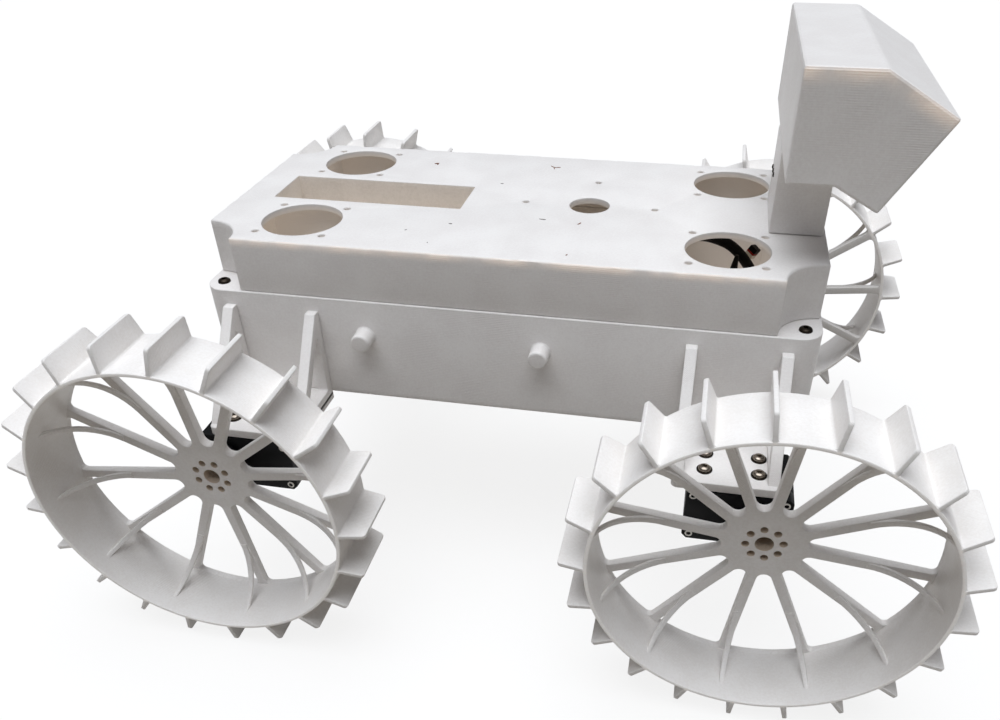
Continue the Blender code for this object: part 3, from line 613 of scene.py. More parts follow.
# %% [markdown]
# ## Plates and turned shapes
#
# A print never has a knife edge, so each plate gets small round edges. The plate function takes closed
# outlines, the first outside and the rest holes, moves each a little into the material level by level
# for the rounding, and fills the flat faces between them. Pegs, screws and lens rings are profiles
# turned about an axis instead. Both are rows of points that one function joins by faces.

# %% Plates and turned shapes
AXES = {
    "z": lambda a, b, c: (a, b, c),
    "y": lambda a, b, c: (a, c, b),
    "x": lambda a, b, c: (c, a, b),
}
ROUND_STEPS = 3


def join_rows(bm, rows, closed=False, capped=False):
    """Faces between rows of points; closed joins the last row to the first, capped fills both ends."""
    for lower, upper in zip(rows, rows[1:] + (rows[:1] if closed else [])):
        count = max(len(lower), len(upper))
        for k in range(count):
            nxt = (k + 1) % count
            if len(lower) == 1:
                bm.faces.new((lower[0], upper[nxt], upper[k]))
            elif len(upper) == 1:
                bm.faces.new((lower[k], lower[nxt], upper[0]))
            else:
                bm.faces.new((lower[k], lower[nxt], upper[nxt], upper[k]))
    if capped:
        bm.faces.new(rows[0])
        bm.faces.new(rows[-1])


def rounded_levels(low, high, low_round, high_round):
    """The heights of a plate's wall, each with how far the wall leans in there."""
    steps = [math.pi / 2 * k / ROUND_STEPS for k in range(ROUND_STEPS + 1)]
    bottom = [(low + low_round * (1 - math.cos(a)), low_round * (1 - math.sin(a))) for a in steps]
    top = [(high - high_round * (1 - math.sin(a)), high_round * (1 - math.cos(a))) for a in steps]
    return (bottom if low_round else [(low, 0.0)]) + (top if high_round else [(high, 0.0)])


def add_plate(bm, loops, low, high, rounding, axis="z"):
    """Add a closed plate to a bmesh.

    loops are outlines of (a, b) pairs, the first outer and the rest holes. rounding is (bottom, top) for
    all of them, or a list with such a pair for each loop.
    """
    place = AXES[axis]
    roundings = rounding if isinstance(rounding, list) else [rounding] * len(loops)
    rims = ([], [])
    for number, (loop, (low_round, high_round)) in enumerate(zip(loops, roundings)):
        if (area(loop) > 0) != (number == 0):
            loop = list(reversed(loop))
        rows = []
        for level, inset in rounded_levels(low, high, low_round, high_round):
            rows.append([bm.verts.new(place(a, b, level)) for a, b in moved_inwards(loop, inset)])
        join_rows(bm, rows)
        for rim, row in zip(rims, (rows[0], rows[-1])):
            rim += [bm.edges.get(pair) for pair in zip(row, row[1:] + row[:1])]
    for rim in rims:
        bmesh.ops.triangle_fill(bm, use_beauty=True, edges=rim)


def add_turned(bm, profile, matrix, sides=32, ring=False):
    """Turn (radius, height) points about the local Z axis, from axis to axis or as a closed ring."""
    rows = []
    for radius, height in profile:
        turns = [2 * math.pi * k / sides for k in range(1 if radius == 0 else sides)]
        rows.append([bm.verts.new(matrix @ Vector((radius * math.cos(t), radius * math.sin(t), height)))
                     for t in turns])
    join_rows(bm, rows, closed=ring)


print("steps of a rounded edge:", ROUND_STEPS)

# %% [markdown]
# A finished bmesh becomes a mesh with smooth faces and sharp edges, and its object rides on one of the
# rover's bodies. It names the solids that it stands for, so that they are hidden under it.

# %% Show a piece
SMOOTH_ANGLE = 35


def finished_mesh(bm, name, materials, smooth_angle=SMOOTH_ANGLE):
    """Turn a bmesh into a mesh that is smooth apart from the edges above an angle in degrees."""
    bmesh.ops.recalc_face_normals(bm, faces=bm.faces)
    mesh = bpy.data.meshes.new(name)
    bm.to_mesh(mesh)
    bm.free()
    mesh.shade_smooth()
    mesh.set_sharp_from_angle(angle=math.radians(smooth_angle))
    for finish in materials:
        mesh.materials.append(finish)
    return mesh


def show(mesh, name, body, stands_for=(), matrix=None):
    """Add a mesh as a piece that rides on a body and stands for solids."""
    made = bpy.data.objects.new(name, mesh)
    bpy.context.scene.collection.objects.link(made)
    if matrix:
        made.matrix_world = matrix
    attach(made, body)
    if stands_for:
        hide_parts(*stands_for)
    return made


def show_fixed(bm, name, materials, stands_for=(), smooth_angle=SMOOTH_ANGLE):
    """Finish a bmesh as a piece of the chassis."""
    return show(finished_mesh(bm, name, materials, smooth_angle), name, "chassis", stands_for)


print("edges of more than", SMOOTH_ANGLE, "degrees stay sharp")

# %% [markdown]
# ## The wheels
#
# A wheel is one print: a thin rim, twelve spokes from a flat hub, a curved rib that leaves each spoke
# halfway out and sweeps across the inside of the rim, and grousers that bite into soft ground. It could
# be cut with Booleans, but then every edge stays sharp. Here hub, spokes and the ring that holds them are
# one plate with twelve windows, so that each window's corners get the round fillets of the real one.

# %% Spokes and hub
SPOKES = 12
SPOKE_WIDTH = 0.0044
SPOKE_THICK = 0.0049
SPOKE_END_THICK = 0.0036
SPOKE_FILLET = 0.0022
PRINT_EDGE = 0.0004
RIM_SEGMENTS = 168
HUB_RADIUS = 0.0183
BOSS_RADIUS = 0.0120
BOSS_LENGTH = 0.0049
BORE_RADIUS = 0.0040
HUB_SCREW_CIRCLE = 0.0080
HUB_SCREW_HOLES = 8
HUB_SCREW_RADIUS = 0.0017
RIB_START = 0.0440
ROOT_STEPS = 6
FILLET_STEPS = 5
INNER_STEPS = 4


def window_outline(middle):
    """The opening between two spokes, about the direction middle (radians), with filleted corners."""
    half_step = math.pi / SPOKES
    half_width = SPOKE_WIDTH / 2
    inner = RIM_RADIUS - RIM_WALL
    root_centre = (HUB_RADIUS - half_width) / (1 - math.sin(half_step))
    root = root_centre - HUB_RADIUS
    turns = [(math.pi / 2 - half_step) * k / ROOT_STEPS for k in range(ROOT_STEPS + 1)]
    half = [(root_centre - root * math.cos(t), root * math.sin(t)) for t in turns]
    across = half_width + SPOKE_FILLET
    along = math.sqrt((inner - SPOKE_FILLET) ** 2 - across ** 2)
    spoke = Vector((math.cos(half_step), math.sin(half_step)))
    inwards = Vector((spoke.y, -spoke.x))
    centre = spoke * along + inwards * across
    start = -inwards
    turn = start.angle_signed(centre.normalized())
    for k in range(FILLET_STEPS + 1):
        half.append(tuple(centre + SPOKE_FILLET * (Matrix.Rotation(-turn * k / FILLET_STEPS, 2) @ start)))
    last = math.atan2(half[-1][1], half[-1][0])
    turns = [last * (1 - k / INNER_STEPS) for k in range(1, INNER_STEPS)]
    half += [(inner * math.cos(t), inner * math.sin(t)) for t in turns]
    mirrored = [(a, -b) for a, b in half[1:]]
    outline = [(inner, 0.0)] + list(reversed(half)) + mirrored
    c, s = math.cos(middle), math.sin(middle)
    return [(a * c - b * s, a * s + b * c) for a, b in outline]


def hub_holes():
    holes = [circle((0, 0), BORE_RADIUS, 32)]
    for k in range(HUB_SCREW_HOLES):
        angle = 2 * math.pi * k / HUB_SCREW_HOLES
        centre = (HUB_SCREW_CIRCLE * math.sin(angle), HUB_SCREW_CIRCLE * math.cos(angle))
        holes.append(circle(centre, HUB_SCREW_RADIUS, 16))
    return holes


def add_spokes(bm):
    windows = [window_outline(math.pi / 2 + (2 * k + 1) * math.pi / SPOKES) for k in range(SPOKES)]
    holes = hub_holes()
    loops = [circle((0, 0), RIM_RADIUS - RIM_WALL / 2, RIM_SEGMENTS)] + windows + holes
    first = len(bm.verts)
    roundings = [(PRINT_EDGE,) * 2] * (1 + SPOKES) + [(PRINT_EDGE / 2,) * 2] * len(holes)
    add_plate(bm, loops, -SPOKE_THICK, 0.0, roundings, "y")
    bm.verts.ensure_lookup_table()
    # The spokes get thinner towards the rim
    slope = (SPOKE_THICK - SPOKE_END_THICK) / (RIM_RADIUS - RIM_WALL - RIB_START)
    for vert in bm.verts[first:]:
        radius = math.hypot(vert.co.x, vert.co.z)
        if vert.co.y < -SPOKE_THICK / 2 and radius > RIB_START:
            vert.co.y += slope * (radius - RIB_START)
    boss = [circle((0, 0), BOSS_RADIUS, 48)] + holes
    add_plate(bm, boss, 0.0, BOSS_LENGTH, (0.0, PRINT_EDGE), "y")


print("window between two spokes:", len(window_outline(0.0)), "points")

# %% Rim, grousers and ribs
RIM_WIDTH = 0.0330
RIM_EDGE = 0.0005
GROUSERS = 21
GROUSER_HEIGHT = 0.0114
GROUSER_THICK = 0.0020
GROUSER_LEAN = 0.0022
GROUSER_CORNER = 0.0019
GROUSER_FILLET = 0.0009
FILLET_FOOT = 0.6
RIB_REACH = 0.0260
RIB_ROOT_WIDTH = 0.0032
RIB_END_WIDTH = 0.0018
RIB_THICK = 0.0016
RIB_THINS_FROM = 0.75
RIB_END_LOSS = 0.5
RIB_STEPS = 14


def add_rim(bm):
    outer, inner = RIM_RADIUS, RIM_RADIUS - RIM_WALL
    section = round_corners([(inner, 0.0), (outer, 0.0), (outer, RIM_WIDTH), (inner, RIM_WIDTH)], RIM_EDGE, 3)
    rows = []
    for k in range(RIM_SEGMENTS):
        angle = 2 * math.pi * k / RIM_SEGMENTS
        rows.append([bm.verts.new((r * math.sin(angle), -d, r * math.cos(angle))) for r, d in section])
    join_rows(bm, rows, closed=True)


def one_grouser():
    """A blade on the rim with a small fillet along each side of its foot."""
    tip = RIM_RADIUS + GROUSER_HEIGHT
    root = RIM_RADIUS - RIM_WALL / 2
    corners = [(0.0, root), (0.0, RIM_RADIUS), (-GROUSER_LEAN, tip), (GROUSER_LEAN - RIM_WIDTH, tip),
               (-RIM_WIDTH, RIM_RADIUS), (-RIM_WIDTH, root)]
    outline = round_corners(corners, [0, 0, GROUSER_CORNER, GROUSER_CORNER, 0, 0], 5)
    bm = bmesh.new()
    half = GROUSER_THICK / 2
    add_plate(bm, [outline], -half, half, (PRINT_EDGE, PRINT_EDGE), "x")
    for side in (-1, 1):
        bend = arc((half + GROUSER_FILLET, RIM_RADIUS + GROUSER_FILLET), GROUSER_FILLET, 180, 270, 4)
        fillet = [(side * a, b) for a, b in bend] + [(side * half * FILLET_FOOT, root)]
        add_plate(bm, [fillet], -RIM_WIDTH + RIM_EDGE, -RIM_EDGE, (0.0, 0.0), "y")
    return bm


def one_rib():
    """The blade that sweeps from a spoke to the rim, as rows of rounded corners along an ellipse."""
    bm = bmesh.new()
    along = RIM_RADIUS - RIM_WALL / 2 - RIB_START
    rows = []
    for k in range(RIB_STEPS + 1):
        share = k / RIB_STEPS
        turn = math.pi / 2 * share
        sunk = SPOKE_THICK + RIB_REACH * (1 - math.cos(turn))
        outer = Vector((0.0, -sunk, RIB_START + along * math.sin(turn)))
        forward = Vector((0.0, -RIB_REACH * math.sin(turn), along * math.cos(turn))).normalized()
        inward = Vector((0.0, forward.z, -forward.y))
        half = (RIB_ROOT_WIDTH + (RIB_END_WIDTH - RIB_ROOT_WIDTH) * share) / 2
        loss = RIB_END_LOSS * max(0.0, share - RIB_THINS_FROM) / (1 - RIB_THINS_FROM)
        thick = RIB_THICK * (1.0 - loss)
        section = round_corners([(-half, 0), (half, 0), (half, thick), (-half, thick)], PRINT_EDGE, 2)
        rows.append([bm.verts.new(outer + Vector((a, 0, 0)) + inward * b) for a, b in section])
    join_rows(bm, rows, capped=True)
    return bm


def add_turned_copies(bm, made, count):
    """Add copies of a small bmesh all around the wheel's axle, and free it."""
    mesh = bpy.data.meshes.new("work")
    for k in range(count):
        copy = made.copy()
        bmesh.ops.transform(copy, matrix=Matrix.Rotation(2 * math.pi * k / count, 4, "Y"), verts=copy.verts)
        copy.to_mesh(mesh)
        copy.free()
        bm.from_mesh(mesh)
    bpy.data.meshes.remove(mesh)
    made.free()


print("wheel across its grousers:", 2000 * (RIM_RADIUS + GROUSER_HEIGHT), "mm")

# %% [markdown]
# One wheel is built and then copied to the four corners. Each copy is turned as far as its wheel has
# rolled in the picture, and the left ones face the other way. The turn goes into the mesh itself, so
# that the object's box stays as tight as the wheel.

# %% Make the four wheels
WHEELBASE_HALF = 0.1286
WHEEL_INBOARD = 0.1172
AXLE_HEIGHT = frame["joints"][0]["pos_m"][2]
# Each row: corner's name, end of the rover, side of the rover, degrees that its wheel has turned forwards
CORNERS = (
    ("front_right", 1, -1, 217.1),
    ("front_left", 1, 1, 54.1),
    ("rear_right", -1, -1, 22.5),
    ("rear_left", -1, 1, 0.0),
)

bm = bmesh.new()
add_spokes(bm)
add_rim(bm)
add_turned_copies(bm, one_grouser(), GROUSERS)
add_turned_copies(bm, one_rib(), SPOKES)
pattern = finished_mesh(bm, "printed_wheel", [wheel_pla])
print("one wheel:", len(pattern.polygons), "faces")
for corner, end, side, turned in CORNERS:
    facing = Matrix.Rotation(math.pi if side > 0 else 0.0, 4, "Z")
    mesh = pattern.copy()
    mesh.transform(facing @ Matrix.Rotation(-side * math.radians(turned), 4, "Y"))
    place = Matrix.Translation((end * WHEELBASE_HALF, side * WHEEL_INBOARD, AXLE_HEIGHT))
    show(mesh, "printed_wheel_" + corner, "wheel_body_" + corner, ["wheel_" + corner], place)
bpy.data.meshes.remove(pattern)

# %% [markdown]
# ## The body
#
# The body is two prints. The tub is an open box with rounded corners and four solid screw columns. The
# cover is a shallow lid turned over it, whose corners are cut round so that a screwdriver reaches the
# screws on the columns. The cover sits one millimetre inside the tub's rim, which leaves a thin ledge
# that catches the light. Under the long slot hangs a bay for a battery. Deck, walls and bay are plates
# from the same function, stacked face to face.

# %% Outlines of the body
GAP = 0.0003
NOTCH_STEPS = 14
NOTCH_EASING = 0.0006
PORT_X = 0.0996
PORT_Y = 0.0401
PORT_RADIUS = 0.0189
PORT_SCREW = 0.0163
SMALL_HOLE = 0.0017
MAST_X = 0.0323
MAST_RADIUS = 0.0098
MAST_SCREW = 0.0317
SLOT_REAR = -0.1253
SLOT_FRONT = -0.0290
SLOT_HALF = 0.0150
SLOT_CORNER = 0.0005


def notched_plan(inset):
    """The cover's plan with its corners cut round, moved inwards; every upright edge is eased."""
    reach = math.degrees(math.asin(inset / (NOTCH_RADIUS + inset)))
    points = []
    for sign_x, sign_y, first in ((1, 1, 270), (-1, 1, 0), (-1, -1, 90), (1, -1, 180)):
        corner = (sign_x * COVER_HALF_X, sign_y * COVER_HALF_Y)
        points += arc(corner, NOTCH_RADIUS + inset, first - reach, first - 90 + reach, NOTCH_STEPS)
    easing = [NOTCH_EASING if k % (NOTCH_STEPS + 1) in (0, NOTCH_STEPS) else 0 for k in range(len(points))]
    return round_corners(points, easing, 2)


def rectangle(low_x, high_x, half_y, corner, steps=3):
    points = [(low_x, -half_y), (high_x, -half_y), (high_x, half_y), (low_x, half_y)]
    return round_corners(points, corner, steps)


def deck_holes():
    """The four ports, the mast's hole, their small screw holes and the slot; one of the mast's is missing."""
    holes = []
    for sign_x in (-1, 1):
        for sign_y in (-1, 1):
            x, y = sign_x * PORT_X, sign_y * PORT_Y
            holes.append(circle((x, y), PORT_RADIUS, 72))
            for a in (-1, 1):
                holes += [circle((x + a * PORT_SCREW, y + b * PORT_SCREW), SMALL_HOLE, 20) for b in (-1, 1)]
    holes.append(circle((MAST_X, 0.0), MAST_RADIUS, 48))
    for a, b in ((-1, 0), (1, 0), (0, 1)):
        holes.append(circle((MAST_X + a * MAST_SCREW, b * MAST_SCREW), SMALL_HOLE, 20))
    holes.append(rectangle(SLOT_REAR, SLOT_FRONT, SLOT_HALF, SLOT_CORNER))
    return holes


print("openings in the deck:", len(deck_holes()))

# %% [markdown]
# A printed edge is never quite even, and this one has also been handled: its rounding wanders by a few
# tenths of a millimetre and has small nicks. The deck's outline gets a point every 1.5 mm, and noise then
# pushes the points of the rounding in and down, in waves of about 6 mm and nicks of about 3 mm.

# %% Make the cover
TUB_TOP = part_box("tub")[1].z
COVER_SIDE_LOW = TUB_TOP + GAP
OUTLINE_STEP = 0.0015
DECK_EDGE = 0.0012
EDGE_BAND = 1.1 * DECK_EDGE
EDGE_WANDER = 0.00022
WANDER_LENGTH = 1 / 160
EDGE_NICK = 0.0012
NICK_LENGTH = 1 / 330
NICK_RARITY = 0.35
NICK_LAYER = 0.4
PUSH_INWARDS = 0.5
PUSH_DOWN = 0.8
HOLE_EDGE = 0.0003
SMALL_HOLE_EDGE = 0.0006
BAY_DEPTH = 0.0400
BAY_WALL = 0.0024
SLOT_MARGIN = 0.0001


def roughen_edge(bm):
    """Push the deck's rounded rim in and down by a smooth unevenness and a few sharper nicks."""
    for vert in bm.verts:
        x, y, z = vert.co
        near_x, near_y = abs(x) > COVER_HALF_X - EDGE_BAND, abs(y) > COVER_HALF_Y - EDGE_BAND
        share = (z - DECK_TOP + DECK_EDGE) / DECK_EDGE
        if (near_x or near_y) and share > 0:
            wander = noise.noise(Vector((x, y, 0)) / WANDER_LENGTH) * EDGE_WANDER
            bite = noise.noise(Vector((x, y, NICK_LAYER)) / NICK_LENGTH)
            nick = max(0.0, bite - NICK_RARITY) * EDGE_NICK
            push = Vector((math.copysign(PUSH_INWARDS, x) * near_x, math.copysign(PUSH_INWARDS, y) * near_y,
                           PUSH_DOWN))
            vert.co -= push * (min(1.0, 2 * share) * (wander + nick))


def make_cover():
    bm = bmesh.new()
    plan, holes = divided(notched_plan(0.0), OUTLINE_STEP), deck_holes()
    deck_low = DECK_TOP - WALL
    small = 2 * math.pi * SMALL_HOLE ** 2
    edges = [(0.0, SMALL_HOLE_EDGE if abs(area(hole)) < small else HOLE_EDGE) for hole in holes]
    add_plate(bm, [plan] + holes, deck_low, DECK_TOP, [(0.0, DECK_EDGE)] + edges)
    roughen_edge(bm)
    add_plate(bm, [plan, notched_plan(WALL)], COVER_SIDE_LOW, deck_low, [(HOLE_EDGE, 0.0)] * 2)
    bay = rectangle(SLOT_REAR - BAY_WALL, SLOT_FRONT + BAY_WALL, SLOT_HALF + BAY_WALL, BAY_WALL)
    slot = rectangle(SLOT_REAR, SLOT_FRONT, SLOT_HALF, SLOT_CORNER)
    bay_floor = DECK_TOP - BAY_DEPTH
    add_plate(bm, [bay, slot], bay_floor, deck_low, (0.0, 0.0))
    add_plate(bm, [bay], bay_floor - BAY_WALL, bay_floor, (HOLE_EDGE, 0.0))
    for face in bm.faces:
        x, y, z = face.calc_center_median()
        along = SLOT_REAR - SLOT_MARGIN < x < SLOT_FRONT + SLOT_MARGIN
        if along and abs(y) < SLOT_HALF + SLOT_MARGIN and z < DECK_TOP - HOLE_EDGE:
            face.material_index = 1
    return show_fixed(bm, "printed_cover", [body_pla, bay_pla], ["cover"])


cover = make_cover()
print("cover:", len(cover.data.polygons), "faces")

# %% [markdown]
# The tub's wall is one plate whose hole has the cover's notched plan, which leaves the four columns. Its
# floor is a second plate. Four pegs stand out of its sides, and each is a turned profile with a small
# step at its foot and a rounded end.

# %% Make the tub
TUB_HALF_X = 0.1440
TUB_HALF_Y = 0.0675
TUB_CORNER = 0.0100
TUB_RIM_EDGE = 0.0004
TUB_FLOOR_EDGE = 0.0013
TUB_FLOOR = TUB_BOTTOM + WALL
PEG_PLACES = (-0.0642, 0.0205)
PEG_ABOVE_AXLE = 0.0520
PEG_RADIUS = 0.0045
PEG_LENGTH = 0.0085
PEG_ROUND = 0.0011
PEG_FOOT = (0.0005, 0.0006)


def add_peg(bm, x, side):
    """One of the pegs on the tub's sides, turned about an axis that points out of the wall."""
    foot = PEG_RADIUS + PEG_FOOT[0]
    profile = [(0.0, -WALL / 2), (foot, -WALL / 2), (foot, 0.0), (PEG_RADIUS, PEG_FOOT[1])]
    profile += arc((PEG_RADIUS - PEG_ROUND, PEG_LENGTH - PEG_ROUND), PEG_ROUND, 0, 90, 5)
    outwards = Matrix.Rotation(-side * math.pi / 2, 4, "X")
    place = Matrix.Translation((x, side * TUB_HALF_Y, AXLE_HEIGHT + PEG_ABOVE_AXLE))
    add_turned(bm, profile + [(0.0, PEG_LENGTH)], place @ outwards, 40)


def make_tub():
    bm = bmesh.new()
    plan = rectangle(-TUB_HALF_X, TUB_HALF_X, TUB_HALF_Y, TUB_CORNER, 12)
    add_plate(bm, [plan, notched_plan(WALL)], TUB_FLOOR, TUB_TOP, [(0.0, TUB_RIM_EDGE)] * 2)
    add_plate(bm, [plan], TUB_BOTTOM, TUB_FLOOR, (TUB_FLOOR_EDGE, 0.0))
    for x in PEG_PLACES:
        add_peg(bm, x, -1)
        add_peg(bm, x, 1)
    return show_fixed(bm, "printed_tub", [body_pla], ["tub"])


tub = make_tub()
print("tub:", len(tub.data.polygons), "faces")

# %% [markdown]
# ## Brackets and servos
#
# Each wheel hangs on a smart servo under a printed bracket: a plate with two triangular ribs against the
# tub's wall, and a window in each rib to save plastic. A servo case is three moulded shells held
# together by long screws in its corners, so it shows two seams around it. Both are drawn once for a corner
# whose length runs along X and whose outside is +Y, and a mirroring matrix carries them to each corner.

# %% Brackets
BRACKET_X = 0.0861
BRACKET_LENGTH = 0.0465
BRACKET_REACH = 0.0407
BRACKET_PLATE = 0.0043
BRACKET_CORNER = 0.0030
RIB_WALL = 0.0052
RIB_HEIGHT = 0.0445
RIB_TOP = 0.0040
RIB_TOP_ROUND = 0.0008
RIB_BACK_ROUND = 0.0004
RIB_MARGIN = 0.0050
RIB_FLOOR_MARGIN = 0.0030
RIB_WINDOW_CORNER = 0.0010


def corner_matrix(end, side, x, y, above_axle):
    place = Matrix.Translation((end * x, side * y, AXLE_HEIGHT + above_axle))
    return place @ Matrix.Diagonal((end, side, 1, 1))


def add_bracket(bm):
    square = [(0.0, 0.0), (BRACKET_LENGTH, 0.0), (BRACKET_LENGTH, BRACKET_REACH), (0.0, BRACKET_REACH)]
    plate = round_corners(square, [0, 0, BRACKET_CORNER, BRACKET_CORNER], 6)
    add_plate(bm, [plate], 0.0, BRACKET_PLATE, (PRINT_EDGE, PRINT_EDGE))
    foot = BRACKET_REACH - BRACKET_CORNER
    low, top = BRACKET_PLATE / 2, BRACKET_PLATE + RIB_HEIGHT
    run = foot - RIB_TOP
    rib = [(0.0, low), (foot, low), (foot, BRACKET_PLATE), (RIB_TOP, top), (0.0, top)]
    # The window keeps a margin from the back, the plate and the slope; slant is the last one's height
    slant = RIB_MARGIN * math.hypot(run, RIB_HEIGHT) / run
    floor = BRACKET_PLATE + RIB_FLOOR_MARGIN
    far = foot - (RIB_FLOOR_MARGIN + slant) * run / RIB_HEIGHT
    peak = BRACKET_PLATE + RIB_HEIGHT * (foot - RIB_MARGIN) / run - slant
    window = [(RIB_MARGIN, floor), (far, floor), (RIB_MARGIN, peak)]
    loops = [round_corners(rib, [0, 0, 0, RIB_TOP_ROUND, RIB_BACK_ROUND], 3),
             round_corners(window, RIB_WINDOW_CORNER, 4)]
    for start in (0.0, BRACKET_LENGTH - RIB_WALL):
        add_plate(bm, loops, start, start + RIB_WALL, (PRINT_EDGE, PRINT_EDGE), "x")


print("bracket rib:", round(1000 * RIB_HEIGHT, 1), "mm high")

# %% Servo cases
SERVO_FACE = 0.1085
SERVO_INSET = 0.01125
SERVO_LENGTH = 0.0465
SERVO_HALF_HEIGHT = 0.01425
SERVO_DEPTH = 0.0340
SERVO_CHAMFER = 0.0022
SERVO_EDGE = 0.0008
SERVO_SEAM = 0.0003
SERVO_CORE_INSET = 0.001
# Each row: the shell's inner and outer depth, its rounding there
SERVO_SHELLS = (
    (-0.0080, 0.0, 0.0003, 0.0005),
    (-0.0262, -0.0080 - SERVO_SEAM, 0.0003, 0.0003),
    (-SERVO_DEPTH, -0.0262 - SERVO_SEAM, 0.0008, 0.0003),
)


def add_servo(bm):
    """Three shells around a core; x runs away from the rover's middle and y out of the servo's face."""
    rear, front = SERVO_INSET - SERVO_LENGTH, SERVO_INSET
    half, cut = SERVO_HALF_HEIGHT, SERVO_CHAMFER
    outline = round_corners([
        (rear, -half + cut), (rear + cut, -half), (front - cut, -half), (front, -half + cut),
        (front, half - cut), (front - cut, half), (rear + cut, half), (rear, half - cut)], SERVO_EDGE, 3)
    for inner, outer, inner_round, outer_round in SERVO_SHELLS:
        add_plate(bm, [outline], inner, outer, (inner_round, outer_round), "y")
    core = moved_inwards(outline, 2 * SERVO_SEAM)
    add_plate(bm, [core], -SERVO_DEPTH + SERVO_CORE_INSET, -SERVO_CORE_INSET, (0.0, 0.0), "y")


print("shells of a servo case:", len(SERVO_SHELLS))

# %% Make the brackets and servos
PLATE_UNDER = SERVO_HALF_HEIGHT + GAP
# Each row: how it is drawn, its place in x and y, its height above the axle, its names, finish and slot
CORNER_PIECES = (
    (add_bracket, BRACKET_X, TUB_HALF_Y + GAP, PLATE_UNDER, "printed_bracket_", "bracket_", upright_pla,
     "white_print"),
    (add_servo, WHEELBASE_HALF, SERVO_FACE, 0.0, "servo_case_", "servo_", servo_abs, "black_servo"),
)
for corner, end, side, turned in CORNERS:
    for draw, x, y, above_axle, name, solid, finish, slot in CORNER_PIECES:
        bm = bmesh.new()
        draw(bm)
        bmesh.ops.transform(bm, matrix=corner_matrix(end, side, x, y, above_axle), verts=bm.verts)
        show_fixed(bm, name + corner, [finish], [solid + corner])
print("brackets and servo cases:", 2 * len(CORNERS))

# %% [markdown]
# ## Screws
#
# Button-head screws hold the brackets to the servos and the cover to the tub. A head is a low dome with a
# hexagon socket, 5.7 mm wide for an M3 thread. It is turned from a profile whose innermost rings are
# pulled out to a hexagon. The bracket screws are bright and sit on dark washers, the four on the tub's
# columns are dark themselves, three small dark ones sit in the neck's back, and each servo face shows the
# bright rims of four sunk screws.

# %% Screw head
HEAD_RADIUS = 0.00285
HEAD_HEIGHT = 0.00165
HEAD_RIM = 0.0002
HEAD_SIDES = 36
SOCKET_APOTHEM = 0.0010
SOCKET_EASING = 0.0001
SOCKET_BOTTOM = 0.35
SOCKET_MOUTH = 1.12
DOME_STEPS = 7
DOME_RINGS = 5
DOME_WIDTH = 0.86
DOME_FULLNESS = 0.9


def add_button_head(bm, matrix, scale=1.0):
    """Add a screw head that stands on the matrix's XY plane."""
    rings = [(HEAD_RADIUS, 0.0, False), (HEAD_RADIUS, HEAD_RIM, False)]
    for k in range(1, DOME_RINGS + 1):
        turn = math.pi / 2 * k / DOME_STEPS
        height = HEAD_RIM + (HEAD_HEIGHT - HEAD_RIM) * math.sin(turn) ** DOME_FULLNESS
        rings.append((HEAD_RADIUS * math.cos(turn * DOME_WIDTH), height, False))
    rings += [(SOCKET_APOTHEM * SOCKET_MOUTH, HEAD_HEIGHT, True),
              (SOCKET_APOTHEM, HEAD_HEIGHT - SOCKET_EASING, True),
              (SOCKET_APOTHEM, HEAD_HEIGHT * SOCKET_BOTTOM, True)]
    rows = []
    for radius, height, hexagonal in rings:
        row = []
        for k in range(HEAD_SIDES):
            angle = 2 * math.pi * k / HEAD_SIDES
            reach = radius
            if hexagonal:
                from_middle = (angle + math.pi / 6) % (math.pi / 3) - math.pi / 6
                reach = radius / math.cos(from_middle)
            point = Vector((reach * math.cos(angle), reach * math.sin(angle), height))
            row.append(bm.verts.new(matrix @ (scale * point)))
        rows.append(row)
    join_rows(bm, rows, capped=True)


print("screw head:", 2000 * HEAD_RADIUS, "mm wide")

# %% Make the screws
WASHER_RADIUS = 0.0035
WASHER_THICK = 0.0005
WASHER_PROFILE = ((0.0, 0.0), (WASHER_RADIUS, 0.0), (WASHER_RADIUS, WASHER_THICK), (0.0, WASHER_THICK))
SERVO_SCREW_RIM = ((0.0010, 0.0), (0.0017, 0.0), (0.0017, 0.0002), (0.0015, 0.0004), (0.0011, 0.0004),
                   (0.0010, 0.0002))
SERVO_SCREW_INSET = 0.0032
BRACKET_SCREWS_X = (0.1001, 0.1237)
BRACKET_SCREWS_Y = (0.0872, 0.0989)
EAR_SCREW = (0.1365, 0.0590)
EAR_SCREW_SCALE = 1.05
NECK_REAR = 0.1172
NECK_SCREWS_Y = (0.0040, 0.0095, 0.0150)
NECK_SCREW_RISE = 0.0187
NECK_SCREW_SCALE = 0.4
# Each socket stopped at its own angle when its screw was tight: radians per metre along x and y
SOCKET_TURNS = (900, 700)

